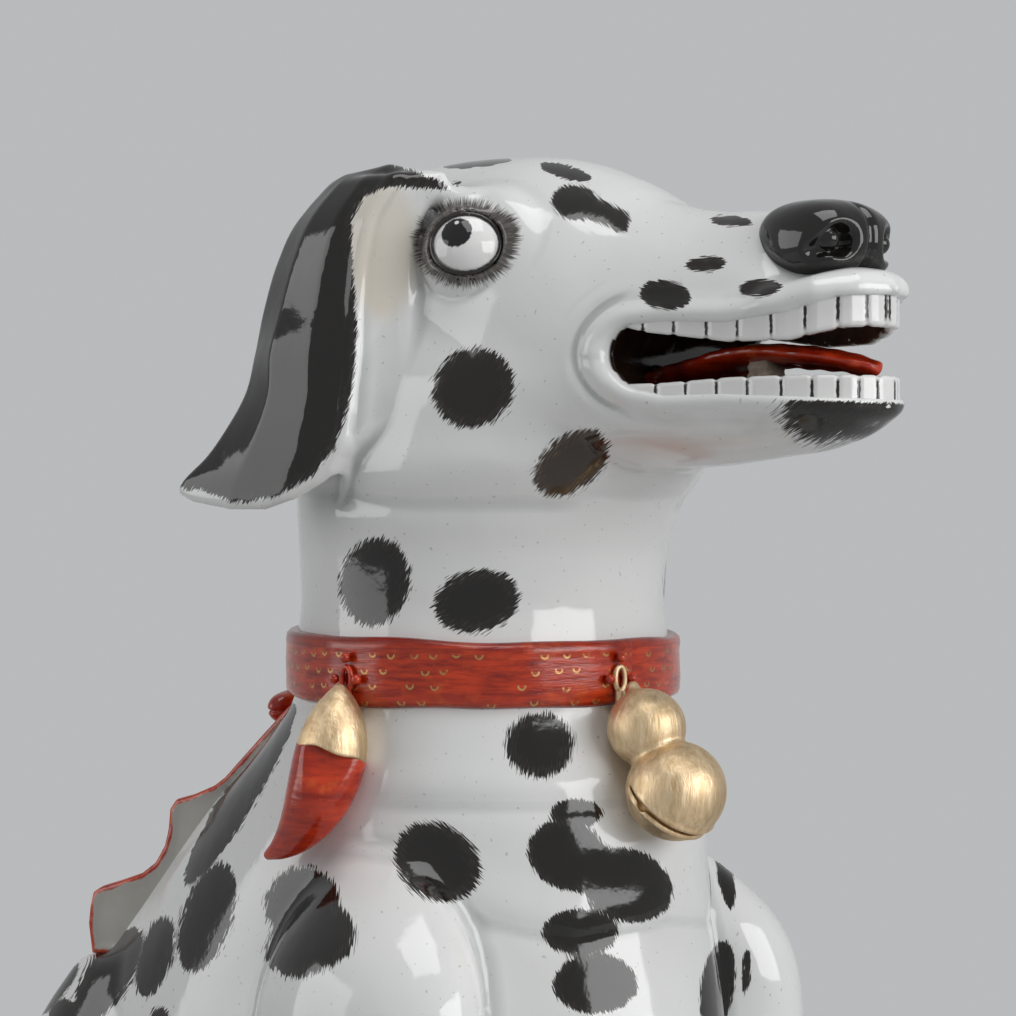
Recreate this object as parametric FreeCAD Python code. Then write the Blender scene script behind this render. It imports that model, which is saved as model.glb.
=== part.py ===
import FreeCAD, Part
import math
import os

# A large seated porcelain hound, painted as a spotted hunting dog, with an open mouth, a red
# collar and three charms. Millimetres. The hound looks along -Y, its own left side is +X,
# and it rests on the ground at Z = 0. Most places are given as (side, ahead, up): side is
# measured from the middle plane, ahead from the axis of the neck towards the nose.

Vector = FreeCAD.Vector

# Whole figure
NECK_AXIS_Y = -132.0
RING_POINTS = 16
HALF = 0.5
OVERRUN = 5.0
TOLERANCE_SHARE = 0.01
WALL = 9.0

# Neck and collar
COLLAR_LOW_Z = 393.0
COLLAR_HEIGHT = 23.5
COLLAR_THICK = 5.5
NECK_RADIUS = 62.5
NECK_TOP_Z = 532.0
NECK_RING_SHARES = (
    (0.0, 1.0),
    (0.09, 1.0),
    (0.18, 1.0),
    (0.35, 1.01),
    (0.53, 1.05),
    (0.67, 1.03),
    (0.82, 0.94),
    (1.0, 0.74),
)
SPIGOT_DEPTH = 14.0
SPIGOT_WALL = 7.0
SPIGOT_CLEARANCE = 0.3

# Body: shares are (up, ahead, half width, half length) of height, length, width, length
TORSO_LENGTH = 300.0
TORSO_WIDTH = 190.0
TORSO_RING_SHARES = (
    (0.0, -0.440, 0.337, 0.240),
    (0.102, -0.427, 0.379, 0.280),
    (0.229, -0.380, 0.421, 0.333),
    (0.356, -0.310, 0.453, 0.397),
    (0.483, -0.233, 0.474, 0.453),
    (0.611, -0.183, 0.484, 0.470),
    (0.723, -0.155, 0.463, 0.453),
    (0.835, -0.089, 0.421, 0.363),
    (0.903, -0.046, 0.384, 0.317),
    (0.950, -0.020, 0.364, 0.268),
)

# Forelegs: shares are (up, side, ahead, half width, half length) of the leg's height, the
# stance, the reach and the shoulder's half sizes
LEG_HEIGHT = 345.0
LEG_STANCE = 80.0
LEG_REACH = 50.0
SHOULDER_HALF_WIDTH = 27.0
SHOULDER_HALF_LENGTH = 44.0
LEG_RING_SHARES = (
    (0.0, 0.675, 1.0, 0.74, 0.52),
    (0.09, 0.675, 0.92, 0.68, 0.46),
    (0.20, 0.680, 0.84, 0.66, 0.44),
    (0.35, 0.710, 0.76, 0.72, 0.50),
    (0.50, 0.790, 0.66, 0.86, 0.64),
    (0.66, 0.910, 0.56, 1.0, 0.86),
    (0.80, 1.010, 0.52, 1.04, 1.04),
    (0.92, 0.950, 0.48, 0.89, 0.86),
    (1.0, 0.775, 0.32, 0.37, 0.39),
)
PAW_HALF_LENGTH = 36.0
PAW_HALF_WIDTH = 25.0
PAW_HEIGHT = 27.0
FORE_PAW_AHEAD = 68.0

# Hind quarters: shares are (up, side, ahead, half width, half length) of the haunch's
# height, its side, its place ahead and its half sizes
HAUNCH_HEIGHT = 300.0
HAUNCH_SIDE = 76.0
HAUNCH_AHEAD = -118.0
HAUNCH_HALF_WIDTH = 38.0
HAUNCH_HALF_LENGTH = 84.0
HAUNCH_RING_SHARES = (
    (0.0, 0.98, 0.92, 0.70, 0.60),
    (0.13, 1.0, 0.80, 0.90, 0.84),
    (0.30, 1.0, 0.72, 1.0, 1.0),
    (0.47, 0.99, 0.74, 1.0, 0.99),
    (0.63, 0.96, 0.82, 0.92, 0.86),
    (0.79, 0.93, 0.90, 0.76, 0.66),
    (0.92, 0.90, 0.97, 0.50, 0.42),
    (1.0, 0.86, 1.0, 0.22, 0.18),
)
HIND_PAW_SIDE = 84.0
HIND_PAW_AHEAD = -42.0
HIND_PAW_HALF_LENGTH = 68.0

# Tail: shares are (side, ahead, up, radius) of the curl's width, its length, its rise and
# the thickness at the root
TAIL_SEAT_DEPTH = 14.0
TAIL_SPREAD = 120.0
TAIL_CURL = 95.0
TAIL_RISE = 40.0
TAIL_RADIUS = 16.0
TAIL_RING_SHARES = (
    (0.0, 0.0, 1.0, 1.0),
    (0.06, -0.30, 0.70, 0.96),
    (0.30, -0.52, 0.42, 0.88),
    (0.62, -0.48, 0.36, 0.80),
    (0.90, -0.20, 0.33, 0.70),
    (1.02, 0.22, 0.30, 0.58),
    (1.0, 0.62, 0.26, 0.38),
)

# Head: shares are (ahead, half width, top, bottom) of the head's reach in front of the
# neck's axis, half its width, and its height above and below the mouth
HEAD_REACH = 176.0
HEAD_HALF_WIDTH = 58.0
HEAD_TOP_Z = 580.0
MOUTH_Z = 505.0
JAW_DEPTH = 42.0
HEAD_RING_SHARES = (
    (-0.362, 0.20, 0.56, 0.10),
    (-0.340, 0.44, 0.70, 0.45),
    (-0.290, 0.66, 0.82, 0.75),
    (-0.200, 0.86, 0.92, 0.98),
    (-0.050, 0.98, 0.985, 1.0),
    (0.120, 1.0, 1.0, 0.98),
    (0.260, 0.97, 0.98, 0.94),
    (0.380, 0.84, 0.85, 0.86),
    (0.500, 0.70, 0.69, 0.80),
    (0.620, 0.57, 0.64, 0.77),
    (0.740, 0.48, 0.64, 0.73),
    (0.850, 0.41, 0.62, 0.69),
    (0.940, 0.32, 0.48, 0.595),
    (1.0, 0.13, 0.30, 0.31),
)
HEAD_SQUARENESS = 2.25

# Mouth: the lip line, the gum line and the edges of the teeth, as shares (ahead, up) of the
# head's reach and of the mouth's gape
MOUTH_GAPE = 25.0
JAW_SEAT_AHEAD = 100.0
UPPER_LIP_SHARES = ((0.53, 0.30), (0.62, 0.46), (0.74, 0.52), (0.86, 0.68), (1.04, 0.86))
UPPER_TOOTH_SHARES = ((0.53, 0.18), (0.62, 0.27), (0.74, 0.28), (0.86, 0.40), (1.04, 0.52))
LOWER_TOOTH_SHARES = ((0.53, -0.26), (0.62, -0.24), (0.74, -0.20), (0.86, -0.17), (1.04, -0.20))
LOWER_GUM_SHARES = ((0.53, -0.36), (0.62, -0.40), (0.74, -0.42), (0.86, -0.46), (1.04, -0.50))
TOOTH_INSET = 1.5
TOOTH_THICK = 4.0
TOOTH_PITCH = 12.0
TOOTH_GROOVE = 0.8
TEETH_BACK_AHEAD = 104.0
UPPER_ARCH_TIP_AHEAD = 171.0
LOWER_ARCH_TIP_AHEAD = 170.0
ARCH_HALF_WIDTH_SHARES = ((0.0, 0.60), (0.40, 0.50), (0.75, 0.40), (0.93, 0.25))

# Tongue and the small clay prop that holds it up in the kiln: shares are (ahead, half
# width, up, half thickness) of the tongue's length, half width, lift and half thickness
TONGUE_BACK_AHEAD = 88.0
TONGUE_LENGTH = 74.0
TONGUE_HALF_WIDTH = 17.0
TONGUE_HALF_THICK = 3.6
TONGUE_LIFT = 6.5
TONGUE_BASE_Z = 499.0
TONGUE_RING_SHARES = (
    (0.0, 0.72, 0.0, 1.0),
    (0.22, 0.96, 0.20, 1.0),
    (0.50, 1.0, 0.78, 1.0),
    (0.72, 0.90, 0.62, 0.95),
    (0.90, 0.62, 0.12, 0.80),
    (1.0, 0.26, -0.16, 0.45),
)
PROP_AHEAD = 134.0
PROP_LENGTH = 8.0
PROP_WIDTH = 12.0

# Nose pad
NOSE_AHEAD = 147.0
NOSE_UP = 543.0
NOSE_HALF_LENGTH = 20.0
NOSE_HALF_WIDTH = 19.0
NOSE_HALF_HEIGHT = 14.5
NOSTRIL_RADIUS = 2.4
NOSTRIL_DEPTH = 5.0
NOSTRIL_TURN = 38.0

# Eyes
EYE_SIDE = 43.5
EYE_AHEAD = 37.0
EYE_UP = 543.0
EYE_RADIUS = 14.5
EYE_TURN = 52.0
EYE_LIFT = 14.0
LID_THICK = 2.6
LID_AHEAD_SHARE = 0.58

# Ears: shares are (up, side, ahead, half length, half thickness) of the ear's drop, how far
# it stands out, its reach, its half length and half its thickness
EAR_LOW_Z = 458.0
EAR_DROP = 112.0
EAR_SIDE = 88.0
EAR_REACH = 40.0
EAR_HALF_LENGTH = 27.0
EAR_HALF_THICK = 3.4
EAR_RING_SHARES = (
    (0.0, 1.0, -0.74, 0.72, 0.60),
    (0.10, 0.98, -0.62, 0.95, 1.0),
    (0.24, 0.93, -0.40, 0.92, 1.0),
    (0.42, 0.86, -0.32, 0.74, 1.05),
    (0.62, 0.79, -0.28, 0.70, 1.15),
    (0.80, 0.70, -0.10, 0.78, 1.4),
    (0.93, 0.55, 0.22, 0.84, 2.0),
    (1.0, 0.42, 0.46, 0.62, 2.4),
)
EAR_TOE_OUT = 14.0

# Charms
CHARM_LOOP_HALF_HEIGHT = 4.0
CHARM_LOOP_HALF_WIDTH = 2.1
CHARM_WIRE_RADIUS = 0.9
CHARM_STALK_LENGTH = 7.0
LUG_BEAD_RADIUS = 1.7
LUG_BEAD_SPREAD = 4.9
LUG_BEAD_RISE = 7.0
LUG_BEAD_SHARES = ((0.0, 1.0), (-1.0, 0.0), (1.0, 0.0))
FRONT_CHARM_TURN = -6.0
SIDE_CHARM_TURN = 87.0
LOOP_UP_SHARE = 0.42
LOOP_SEAT = 0.3
BEAD_SEAT_GAP = 0.1

BELL_TOP_RADIUS = 13.0
BELL_LOW_RADIUS = 16.6
BELL_LENGTH = 52.0
BELL_LEAN = 26.0
BELL_STAND_OFF = 7.0
BELL_SLIT = 1.6
BELL_SLIT_DEPTH = 3.0

# Pepper: shares are (down, radius) of its length and its largest radius
PEPPER_LENGTH = 57.0
PEPPER_RADIUS = 11.9
PEPPER_LEAN = 13.0
PEPPER_SWING = 21.0
PEPPER_STAND_OFF = 2.5
PEPPER_CAP_SHARE = 0.34
PEPPER_RING_SHARES = (
    (0.0, 0.30),
    (0.08, 0.66),
    (0.20, 0.90),
    (0.34, 1.0),
    (0.52, 0.94),
    (0.72, 0.66),
    (0.90, 0.32),
    (1.0, 0.10),
)

# Ribbon: two fluted tails that run down the back from a knot under the collar. Shares are
# (rise, up) of the rise over the back's ridge and the drop, for the line of the flutes
RIBBON_START_Z = 388.0
RIBBON_RISE = 12.0
RIBBON_DROP = 77.0
RIBBON_WIDTH = 26.0
RIBBON_THICK = 3.2
RIBBON_TURN = 24.0
RIBBON_LINE_SHARES = (
    (0.283, 0.0),
    (-0.183, -0.21),
    (-0.442, -0.33),
    (0.367, -0.40),
    (-0.717, -0.60),
    (-0.933, -0.74),
    (0.200, -0.82),
    (-0.654, -1.0),
)
KNOT_HALF_WIDTH = 34.0
KNOT_HALF_HEIGHT = 9.0
KNOT_HALF_THICK = 9.0


def place(side, ahead, up):
    return Vector(side, NECK_AXIS_Y - ahead, up)


UP = Vector(0, 0, 1)
LEFT = Vector(1, 0, 0)
AHEAD = Vector(0, -1, 0)


def closed_wire(points):
    curve = Part.BSplineCurve()
    curve.interpolate(Points=points, PeriodicFlag=True)
    return Part.Wire(curve.toShape())


def rounded_power(value, squareness):
    return math.copysign(abs(value) ** (2 / squareness), value)


def oval(centre, first, second, first_half, high_half, low_half=None, squareness=2.0):
    """A closed ring round a centre: first and second are its directions."""
    low_half = high_half if low_half is None else low_half
    points = []
    for index in range(RING_POINTS):
        angle = 2 * math.pi * index / RING_POINTS
        across = rounded_power(math.cos(angle), squareness) * first_half
        along = rounded_power(math.sin(angle), squareness)
        along *= high_half if along > 0 else low_half
        points.append(centre + first * across + second * along)
    return closed_wire(points)


def loft(rings):
    return Part.makeLoft(rings, True)


def mirrored(shape):
    return shape.mirror(Vector(0, 0, 0), LEFT)


def single(shape):
    """The largest solid that a cut leaves."""
    return max(shape.Solids, key=lambda solid: solid.Volume)


def ellipsoid(centre, half_side, half_ahead, half_up):
    ball = Part.makeSphere(1)
    scale = FreeCAD.Matrix()
    scale.scale(half_side, half_ahead, half_up)
    shape = ball.transformGeometry(scale)
    shape.translate(centre)
    return shape


def block(side_low, side_high, ahead_low, ahead_high, up_low, up_high):
    corner = place(side_low, ahead_high, up_low)
    size = (side_high - side_low, ahead_high - ahead_low, up_high - up_low)
    return Part.makeBox(*size, corner)


def above_ground(shape):
    reach = TORSO_LENGTH
    keep = block(-reach, reach, -reach, reach, 0, HEAD_TOP_Z)
    return single(shape.common(keep))


def side_prism(upper_line, lower_line, half_width):
    """A slab through the head between two lines of (ahead, up) points."""
    points = [place(-half_width, ahead, up) for ahead, up in upper_line]
    points += [place(-half_width, ahead, up) for ahead, up in reversed(lower_line)]
    outline = Part.makePolygon(points + points[:1])
    return Part.Face(outline).extrude(LEFT * (2 * half_width))


# Body
def torso_rings(inset=0.0):
    rings = []
    for up, ahead, half_width, half_length in TORSO_RING_SHARES:
        centre = place(0, ahead * TORSO_LENGTH, up * COLLAR_LOW_Z)
        wide = half_width * TORSO_WIDTH - inset
        long = half_length * TORSO_LENGTH - inset
        rings.append(oval(centre, LEFT, AHEAD, wide, long))
    top_radius = NECK_RADIUS + COLLAR_THICK - inset
    top = place(0, 0, COLLAR_LOW_Z)
    rings.append(oval(top, LEFT, AHEAD, top_radius, top_radius))
    return rings


def torso_back(z):
    """How far behind the neck's axis the torso reaches at a height."""
    rows = []
    for up, ahead, _, half_length in TORSO_RING_SHARES:
        rows.append((up * COLLAR_LOW_Z, (half_length - ahead) * TORSO_LENGTH))
    rows.append((COLLAR_LOW_Z, NECK_RADIUS))
    for (low, low_reach), (high, high_reach) in zip(rows, rows[1:]):
        if z <= high:
            break
    return low_reach + (high_reach - low_reach) * (z - low) / (high - low)


def torso_blank():
    return loft(torso_rings())


def torso(blank):
    hollow = loft(torso_rings(WALL))
    reach = TORSO_LENGTH
    below_base = block(-reach, reach, -reach, reach, -OVERRUN, WALL)
    above_hollow = COLLAR_LOW_Z - SPIGOT_DEPTH - WALL
    near_top = block(-reach, reach, -reach, reach, above_hollow, HEAD_TOP_Z)
    hollow = single(hollow.cut(below_base).cut(near_top))
    socket_radius = NECK_RADIUS - WALL + SPIGOT_CLEARANCE
    socket_low = above_hollow - OVERRUN
    socket_height = COLLAR_LOW_Z - socket_low + OVERRUN
    socket = Part.makeCylinder(socket_radius, socket_height, place(0, 0, socket_low))
    return single(blank.cut(hollow).cut(socket))


def leg_blank():
    rings = []
    for up, side, ahead, half_width, half_length in LEG_RING_SHARES:
        centre = place(side * LEG_STANCE, ahead * LEG_REACH, up * LEG_HEIGHT)
        wide = half_width * SHOULDER_HALF_WIDTH
        long = half_length * SHOULDER_HALF_LENGTH
        rings.append(oval(centre, LEFT, AHEAD, wide, long))
    leg = loft(rings)
    foot_side = LEG_RING_SHARES[0][1] * LEG_STANCE
    paw = ellipsoid(
        place(foot_side, FORE_PAW_AHEAD, 0), PAW_HALF_WIDTH, PAW_HALF_LENGTH, PAW_HEIGHT
    )
    return above_ground(leg.fuse(paw))


def haunch_blank():
    rings = []
    for up, side, ahead, half_width, half_length in HAUNCH_RING_SHARES:
        centre = place(side * HAUNCH_SIDE, ahead * HAUNCH_AHEAD, up * HAUNCH_HEIGHT)
        wide = half_width * HAUNCH_HALF_WIDTH
        long = half_length * HAUNCH_HALF_LENGTH
        rings.append(oval(centre, LEFT, AHEAD, wide, long))
    return loft(rings)


def hind_paw_blank():
    centre = place(HIND_PAW_SIDE, HIND_PAW_AHEAD, 0)
    return above_ground(ellipsoid(centre, PAW_HALF_WIDTH, HIND_PAW_HALF_LENGTH, PAW_HEIGHT))


def tail_blank():
    rings = []
    points = []
    root_ahead = TAIL_SEAT_DEPTH - torso_back(0)
    for side, ahead, up, radius in TAIL_RING_SHARES:
        where = place(-side * TAIL_SPREAD, root_ahead + ahead * TAIL_CURL, up * TAIL_RISE)
        points.append((where, radius * TAIL_RADIUS))
    for index, (where, radius) in enumerate(points):
        before = points[max(index - 1, 0)][0]
        after = points[min(index + 1, len(points) - 1)][0]
        along = (after - before).normalize()
        across = along.cross(UP).normalize()
        rings.append(oval(where, across, across.cross(along), radius, radius))
    return above_ground(loft(rings))


# Head
def head_ring(row, inset=0.0):
    ahead, half_width, top, bottom = row
    centre = place(0, ahead * HEAD_REACH, MOUTH_Z)
    high = top * (HEAD_TOP_Z - MOUTH_Z) - inset
    low = bottom * JAW_DEPTH - inset
    wide = half_width * HEAD_HALF_WIDTH - inset
    return oval(centre, LEFT, UP, wide, high, low, HEAD_SQUARENESS)


def head_blank():
    return loft([head_ring(row) for row in HEAD_RING_SHARES])


def neck_blank():
    rings = []
    for up, radius in NECK_RING_SHARES:
        centre = place(0, 0, COLLAR_LOW_Z + up * (NECK_TOP_Z - COLLAR_LOW_Z))
        half = radius * NECK_RADIUS
        rings.append(oval(centre, LEFT, AHEAD, half, half))
    return loft(rings)


def scaled_line(shares):
    return [(ahead * HEAD_REACH, MOUTH_Z + up * MOUTH_GAPE) for ahead, up in shares]


def mouth_cutter():
    lips = scaled_line(UPPER_LIP_SHARES)
    gums = scaled_line(LOWER_GUM_SHARES)
    slot = side_prism(lips, gums, HEAD_HALF_WIDTH)
    radius = (lips[0][1] - gums[0][1]) * HALF
    middle = (lips[0][1] + gums[0][1]) * HALF
    corner = place(-HEAD_HALF_WIDTH, lips[0][0], middle)
    rounded = Part.makeCylinder(radius, 2 * HEAD_HALF_WIDTH, corner, LEFT)
    return slot.fuse(rounded)


def jaw_region():
    gum_z = MOUTH_Z + UPPER_LIP_SHARES[0][1] * MOUTH_GAPE
    front = HEAD_REACH + OVERRUN
    return block(-HEAD_REACH, HEAD_REACH, JAW_SEAT_AHEAD, front, 0, gum_z)


def head_hollow():
    rings = [head_ring(row, WALL) for row in HEAD_RING_SHARES[3:8]]
    skull = loft(rings)
    low = COLLAR_LOW_Z - SPIGOT_DEPTH - OVERRUN
    bore_radius = NECK_RADIUS - WALL - SPIGOT_WALL
    bore = Part.makeCylinder(bore_radius, MOUTH_Z - low, place(0, 0, low))
    return skull.fuse(bore)


def neck_spigot():
    radius = NECK_RADIUS - WALL
    low = COLLAR_LOW_Z - SPIGOT_DEPTH
    return Part.makeCylinder(radius, SPIGOT_DEPTH + WALL, place(0, 0, low))


def arch_outline(tip_ahead, inset):
    """The curve of a row of teeth seen from above, from one corner round to the other."""
    reach = tip_ahead - TEETH_BACK_AHEAD
    right = []
    for ahead, half_width in ARCH_HALF_WIDTH_SHARES:
        side = half_width * HEAD_HALF_WIDTH - inset
        right.append((side, TEETH_BACK_AHEAD + ahead * (reach - inset)))
    left = [(-side, ahead) for side, ahead in reversed(right)]
    return right + [(0.0, tip_ahead - inset)] + left


def arch_band(tip_ahead):
    low = MOUTH_Z - MOUTH_GAPE
    outer = [place(side, ahead, low) for side, ahead in arch_outline(tip_ahead, TOOTH_INSET)]
    depth = TOOTH_INSET + TOOTH_THICK
    inner = [place(side, ahead, low) for side, ahead in arch_outline(tip_ahead, depth)]
    curves = []
    for points in (outer, inner):
        curve = Part.BSplineCurve()
        curve.interpolate(Points=points)
        curves.append(curve.toShape())
    ends = [Part.makeLine(outer[0], inner[0]), Part.makeLine(inner[-1], outer[-1])]
    face = Part.Face(Part.Wire(Part.__sortEdges__(curves + ends)))
    return face.extrude(UP * (2 * MOUTH_GAPE)), outer


def tooth_grooves(outer):
    """Thin upright cuts between the teeth, spaced evenly along the arch."""
    curve = Part.BSplineCurve()
    curve.interpolate(Points=outer)
    count = int(curve.length() / TOOTH_PITCH)
    cuts = []
    for index in range(1, count):
        at = curve.parameterAtDistance(curve.length() * index / count, curve.FirstParameter)
        cuts.append(Part.makeCylinder(TOOTH_GROOVE, 2 * MOUTH_GAPE, curve.value(at)))
    return cuts


def teeth(tip_ahead, upper_shares, lower_shares):
    band, outer = arch_band(tip_ahead)
    slab = side_prism(scaled_line(upper_shares), scaled_line(lower_shares), HEAD_HALF_WIDTH)
    row = single(band.common(slab))
    return single(row.cut(tooth_grooves(outer)))


def tongue_blank():
    rings = []
    for ahead, half_width, up, half_thick in TONGUE_RING_SHARES:
        where = TONGUE_BACK_AHEAD + ahead * TONGUE_LENGTH
        centre = place(0, where, TONGUE_BASE_Z + up * TONGUE_LIFT)
        wide = half_width * TONGUE_HALF_WIDTH
        rings.append(oval(centre, LEFT, UP, wide, half_thick * TONGUE_HALF_THICK))
    return loft(rings)


def prop_blank():
    half = PROP_LENGTH * HALF
    low = MOUTH_Z - MOUTH_GAPE * HALF
    return block(
        -PROP_WIDTH * HALF, PROP_WIDTH * HALF, PROP_AHEAD - half, PROP_AHEAD + half,
        low, TONGUE_BASE_Z + TONGUE_LIFT,
    )


def nose_blank():
    centre = place(0, NOSE_AHEAD, NOSE_UP)
    return ellipsoid(centre, NOSE_HALF_WIDTH, NOSE_HALF_LENGTH, NOSE_HALF_HEIGHT)


def nostrils():
    cuts = []
    for sign in (-1, 1):
        angle = math.radians(NOSTRIL_TURN) * sign
        outward = LEFT * math.sin(angle) + AHEAD * math.cos(angle)
        rim = place(
            math.sin(angle) * NOSE_HALF_WIDTH, NOSE_AHEAD + math.cos(angle) * NOSE_HALF_LENGTH,
            NOSE_UP,
        )
        start = rim - outward * NOSTRIL_DEPTH
        cuts.append(Part.makeCylinder(NOSTRIL_RADIUS, 2 * NOSTRIL_DEPTH, start, outward))
    return cuts


def gaze():
    turn = math.radians(EYE_TURN)
    lift = math.radians(EYE_LIFT)
    level = LEFT * math.sin(turn) + AHEAD * math.cos(turn)
    return level * math.cos(lift) + UP * math.sin(lift)


def eyeball_blank():
    return Part.makeSphere(EYE_RADIUS, place(EYE_SIDE, EYE_AHEAD, EYE_UP))


def eyelid_blank():
    forward = gaze()
    centre = place(EYE_SIDE, EYE_AHEAD, EYE_UP) + forward * (EYE_RADIUS * LID_AHEAD_SHARE)
    ring_radius = EYE_RADIUS * math.sqrt(1 - LID_AHEAD_SHARE ** 2)
    return Part.makeTorus(ring_radius, LID_THICK, centre, forward)


def ear_blank():
    rings = []
    toe = math.radians(EAR_TOE_OUT)
    along = AHEAD * math.cos(toe) - LEFT * math.sin(toe)
    across = LEFT * math.cos(toe) + AHEAD * math.sin(toe)
    for up, side, ahead, half_length, half_thick in EAR_RING_SHARES:
        centre = place(side * EAR_SIDE, ahead * EAR_REACH, EAR_LOW_Z + up * EAR_DROP)
        long = half_length * EAR_HALF_LENGTH
        rings.append(oval(centre, across, along, half_thick * EAR_HALF_THICK, long))
    return loft(rings)


# Collar and charms
def collar(neck):
    low = place(0, 0, COLLAR_LOW_Z)
    outer = Part.makeCylinder(NECK_RADIUS + COLLAR_THICK, COLLAR_HEIGHT, low)
    return outer.cut(neck)


def outward_at(turn):
    angle = math.radians(turn)
    return LEFT * math.sin(angle) + AHEAD * math.cos(angle)


def loop_centre(turn):
    reach = NECK_RADIUS + COLLAR_THICK + CHARM_WIRE_RADIUS + LOOP_SEAT
    up = COLLAR_LOW_Z + LOOP_UP_SHARE * COLLAR_HEIGHT
    return place(0, 0, up) + outward_at(turn) * reach


def charm_loop(turn):
    """An upright oval ring of clay against the collar, with a stalk down to its charm."""
    centre = loop_centre(turn)
    outward = outward_at(turn)
    across = outward.cross(UP)
    path = oval(centre, across, UP, CHARM_LOOP_HALF_WIDTH, CHARM_LOOP_HALF_HEIGHT)
    start = path.Edges[0].valueAt(path.Edges[0].FirstParameter)
    profile = Part.Wire(Part.makeCircle(CHARM_WIRE_RADIUS, start, UP))
    ring = path.makePipeShell([profile], True, True)
    low = centre - UP * CHARM_LOOP_HALF_HEIGHT
    stalk = Part.makeCylinder(CHARM_WIRE_RADIUS * 2, CHARM_STALK_LENGTH, low, UP * -1)
    return ring.fuse(stalk)


def lug_beads(turn):
    across = outward_at(turn).cross(UP)
    reach = NECK_RADIUS + COLLAR_THICK + LUG_BEAD_RADIUS + BEAD_SEAT_GAP
    foot = place(0, 0, COLLAR_LOW_Z + LOOP_UP_SHARE * COLLAR_HEIGHT) + outward_at(turn) * reach
    beads = []
    for side, rise in LUG_BEAD_SHARES:
        where = foot + across * (side * LUG_BEAD_SPREAD) + UP * (rise * LUG_BEAD_RISE)
        beads.append(Part.makeSphere(LUG_BEAD_RADIUS, where))
    return beads


def hung(shape, turn, lean, swing, stand_off):
    """Turns a charm that hangs down from the origin to its place under a loop."""
    shape.rotate(Vector(0, 0, 0), AHEAD, swing)
    shape.rotate(Vector(0, 0, 0), LEFT, -lean)
    shape.rotate(Vector(0, 0, 0), UP, turn)
    foot = loop_centre(turn) - UP * CHARM_LOOP_HALF_HEIGHT
    shape.translate(foot + outward_at(turn) * stand_off)
    return shape


def gourd_bell():
    top = Part.makeSphere(BELL_TOP_RADIUS, UP * -BELL_TOP_RADIUS)
    low_centre = UP * (BELL_LOW_RADIUS - BELL_LENGTH)
    low = Part.makeSphere(BELL_LOW_RADIUS, low_centre)
    waist_radius = BELL_TOP_RADIUS * HALF
    waist = Part.makeCylinder(waist_radius, BELL_LENGTH * HALF, low_centre)
    body = top.fuse([low, waist])
    inner = Part.makeSphere(BELL_LOW_RADIUS - BELL_SLIT_DEPTH, low_centre)
    width = 2 * BELL_LOW_RADIUS
    corner = low_centre + Vector(-BELL_LOW_RADIUS, 0, -BELL_LOW_RADIUS)
    half_slit = BELL_SLIT * HALF
    slit = Part.makeBox(
        width, width, BELL_SLIT, corner + UP * (BELL_LOW_RADIUS * HALF - half_slit)
    )
    bell = body.cut(slit.cut(inner))
    return hung(bell, FRONT_CHARM_TURN, BELL_LEAN, 0, BELL_STAND_OFF)


def pepper_rings(low_share, high_share):
    rings = []
    for down, radius in PEPPER_RING_SHARES:
        if low_share <= down <= high_share:
            centre = UP * (-down * PEPPER_LENGTH)
            rings.append(oval(centre, LEFT, AHEAD, radius * PEPPER_RADIUS, radius * PEPPER_RADIUS))
    return rings


def pepper_piece(low_share, high_share):
    piece = loft(pepper_rings(low_share, high_share))
    return hung(piece, SIDE_CHARM_TURN, PEPPER_LEAN, PEPPER_SWING, PEPPER_STAND_OFF)


# Ribbon
def ribbon_line():
    """Points (behind the neck's axis, up) that the flutes follow over the back."""
    line = []
    for rise, up in RIBBON_LINE_SHARES:
        z = RIBBON_START_Z + up * RIBBON_DROP
        line.append((torso_back(z) + rise * RIBBON_RISE, z))
    return line


def ribbon_tail():
    half = RIBBON_WIDTH * HALF
    curve = Part.BSplineCurve()
    curve.interpolate(Points=[Vector(-half, behind, z) for behind, z in ribbon_line()])
    face = curve.toShape().extrude(LEFT * RIBBON_WIDTH)
    strip = face.makeOffsetShape(RIBBON_THICK, RIBBON_THICK * TOLERANCE_SHARE, fill=True)
    strip.translate(place(0, 0, 0))
    strip.rotate(place(0, 0, 0), UP, -RIBBON_TURN)
    return strip


def ribbon_knot():
    behind, z = ribbon_line()[0]
    centre = place(0, -behind - KNOT_HALF_THICK * HALF, z)
    return ellipsoid(centre, KNOT_HALF_WIDTH, KNOT_HALF_THICK, KNOT_HALF_HEIGHT)


def both_sides(pieces, name, shape):
    """The piece made on the left, and its mirror image on the right."""
    pieces["left_" + name] = shape
    pieces["right_" + name] = mirrored(shape)


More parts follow.
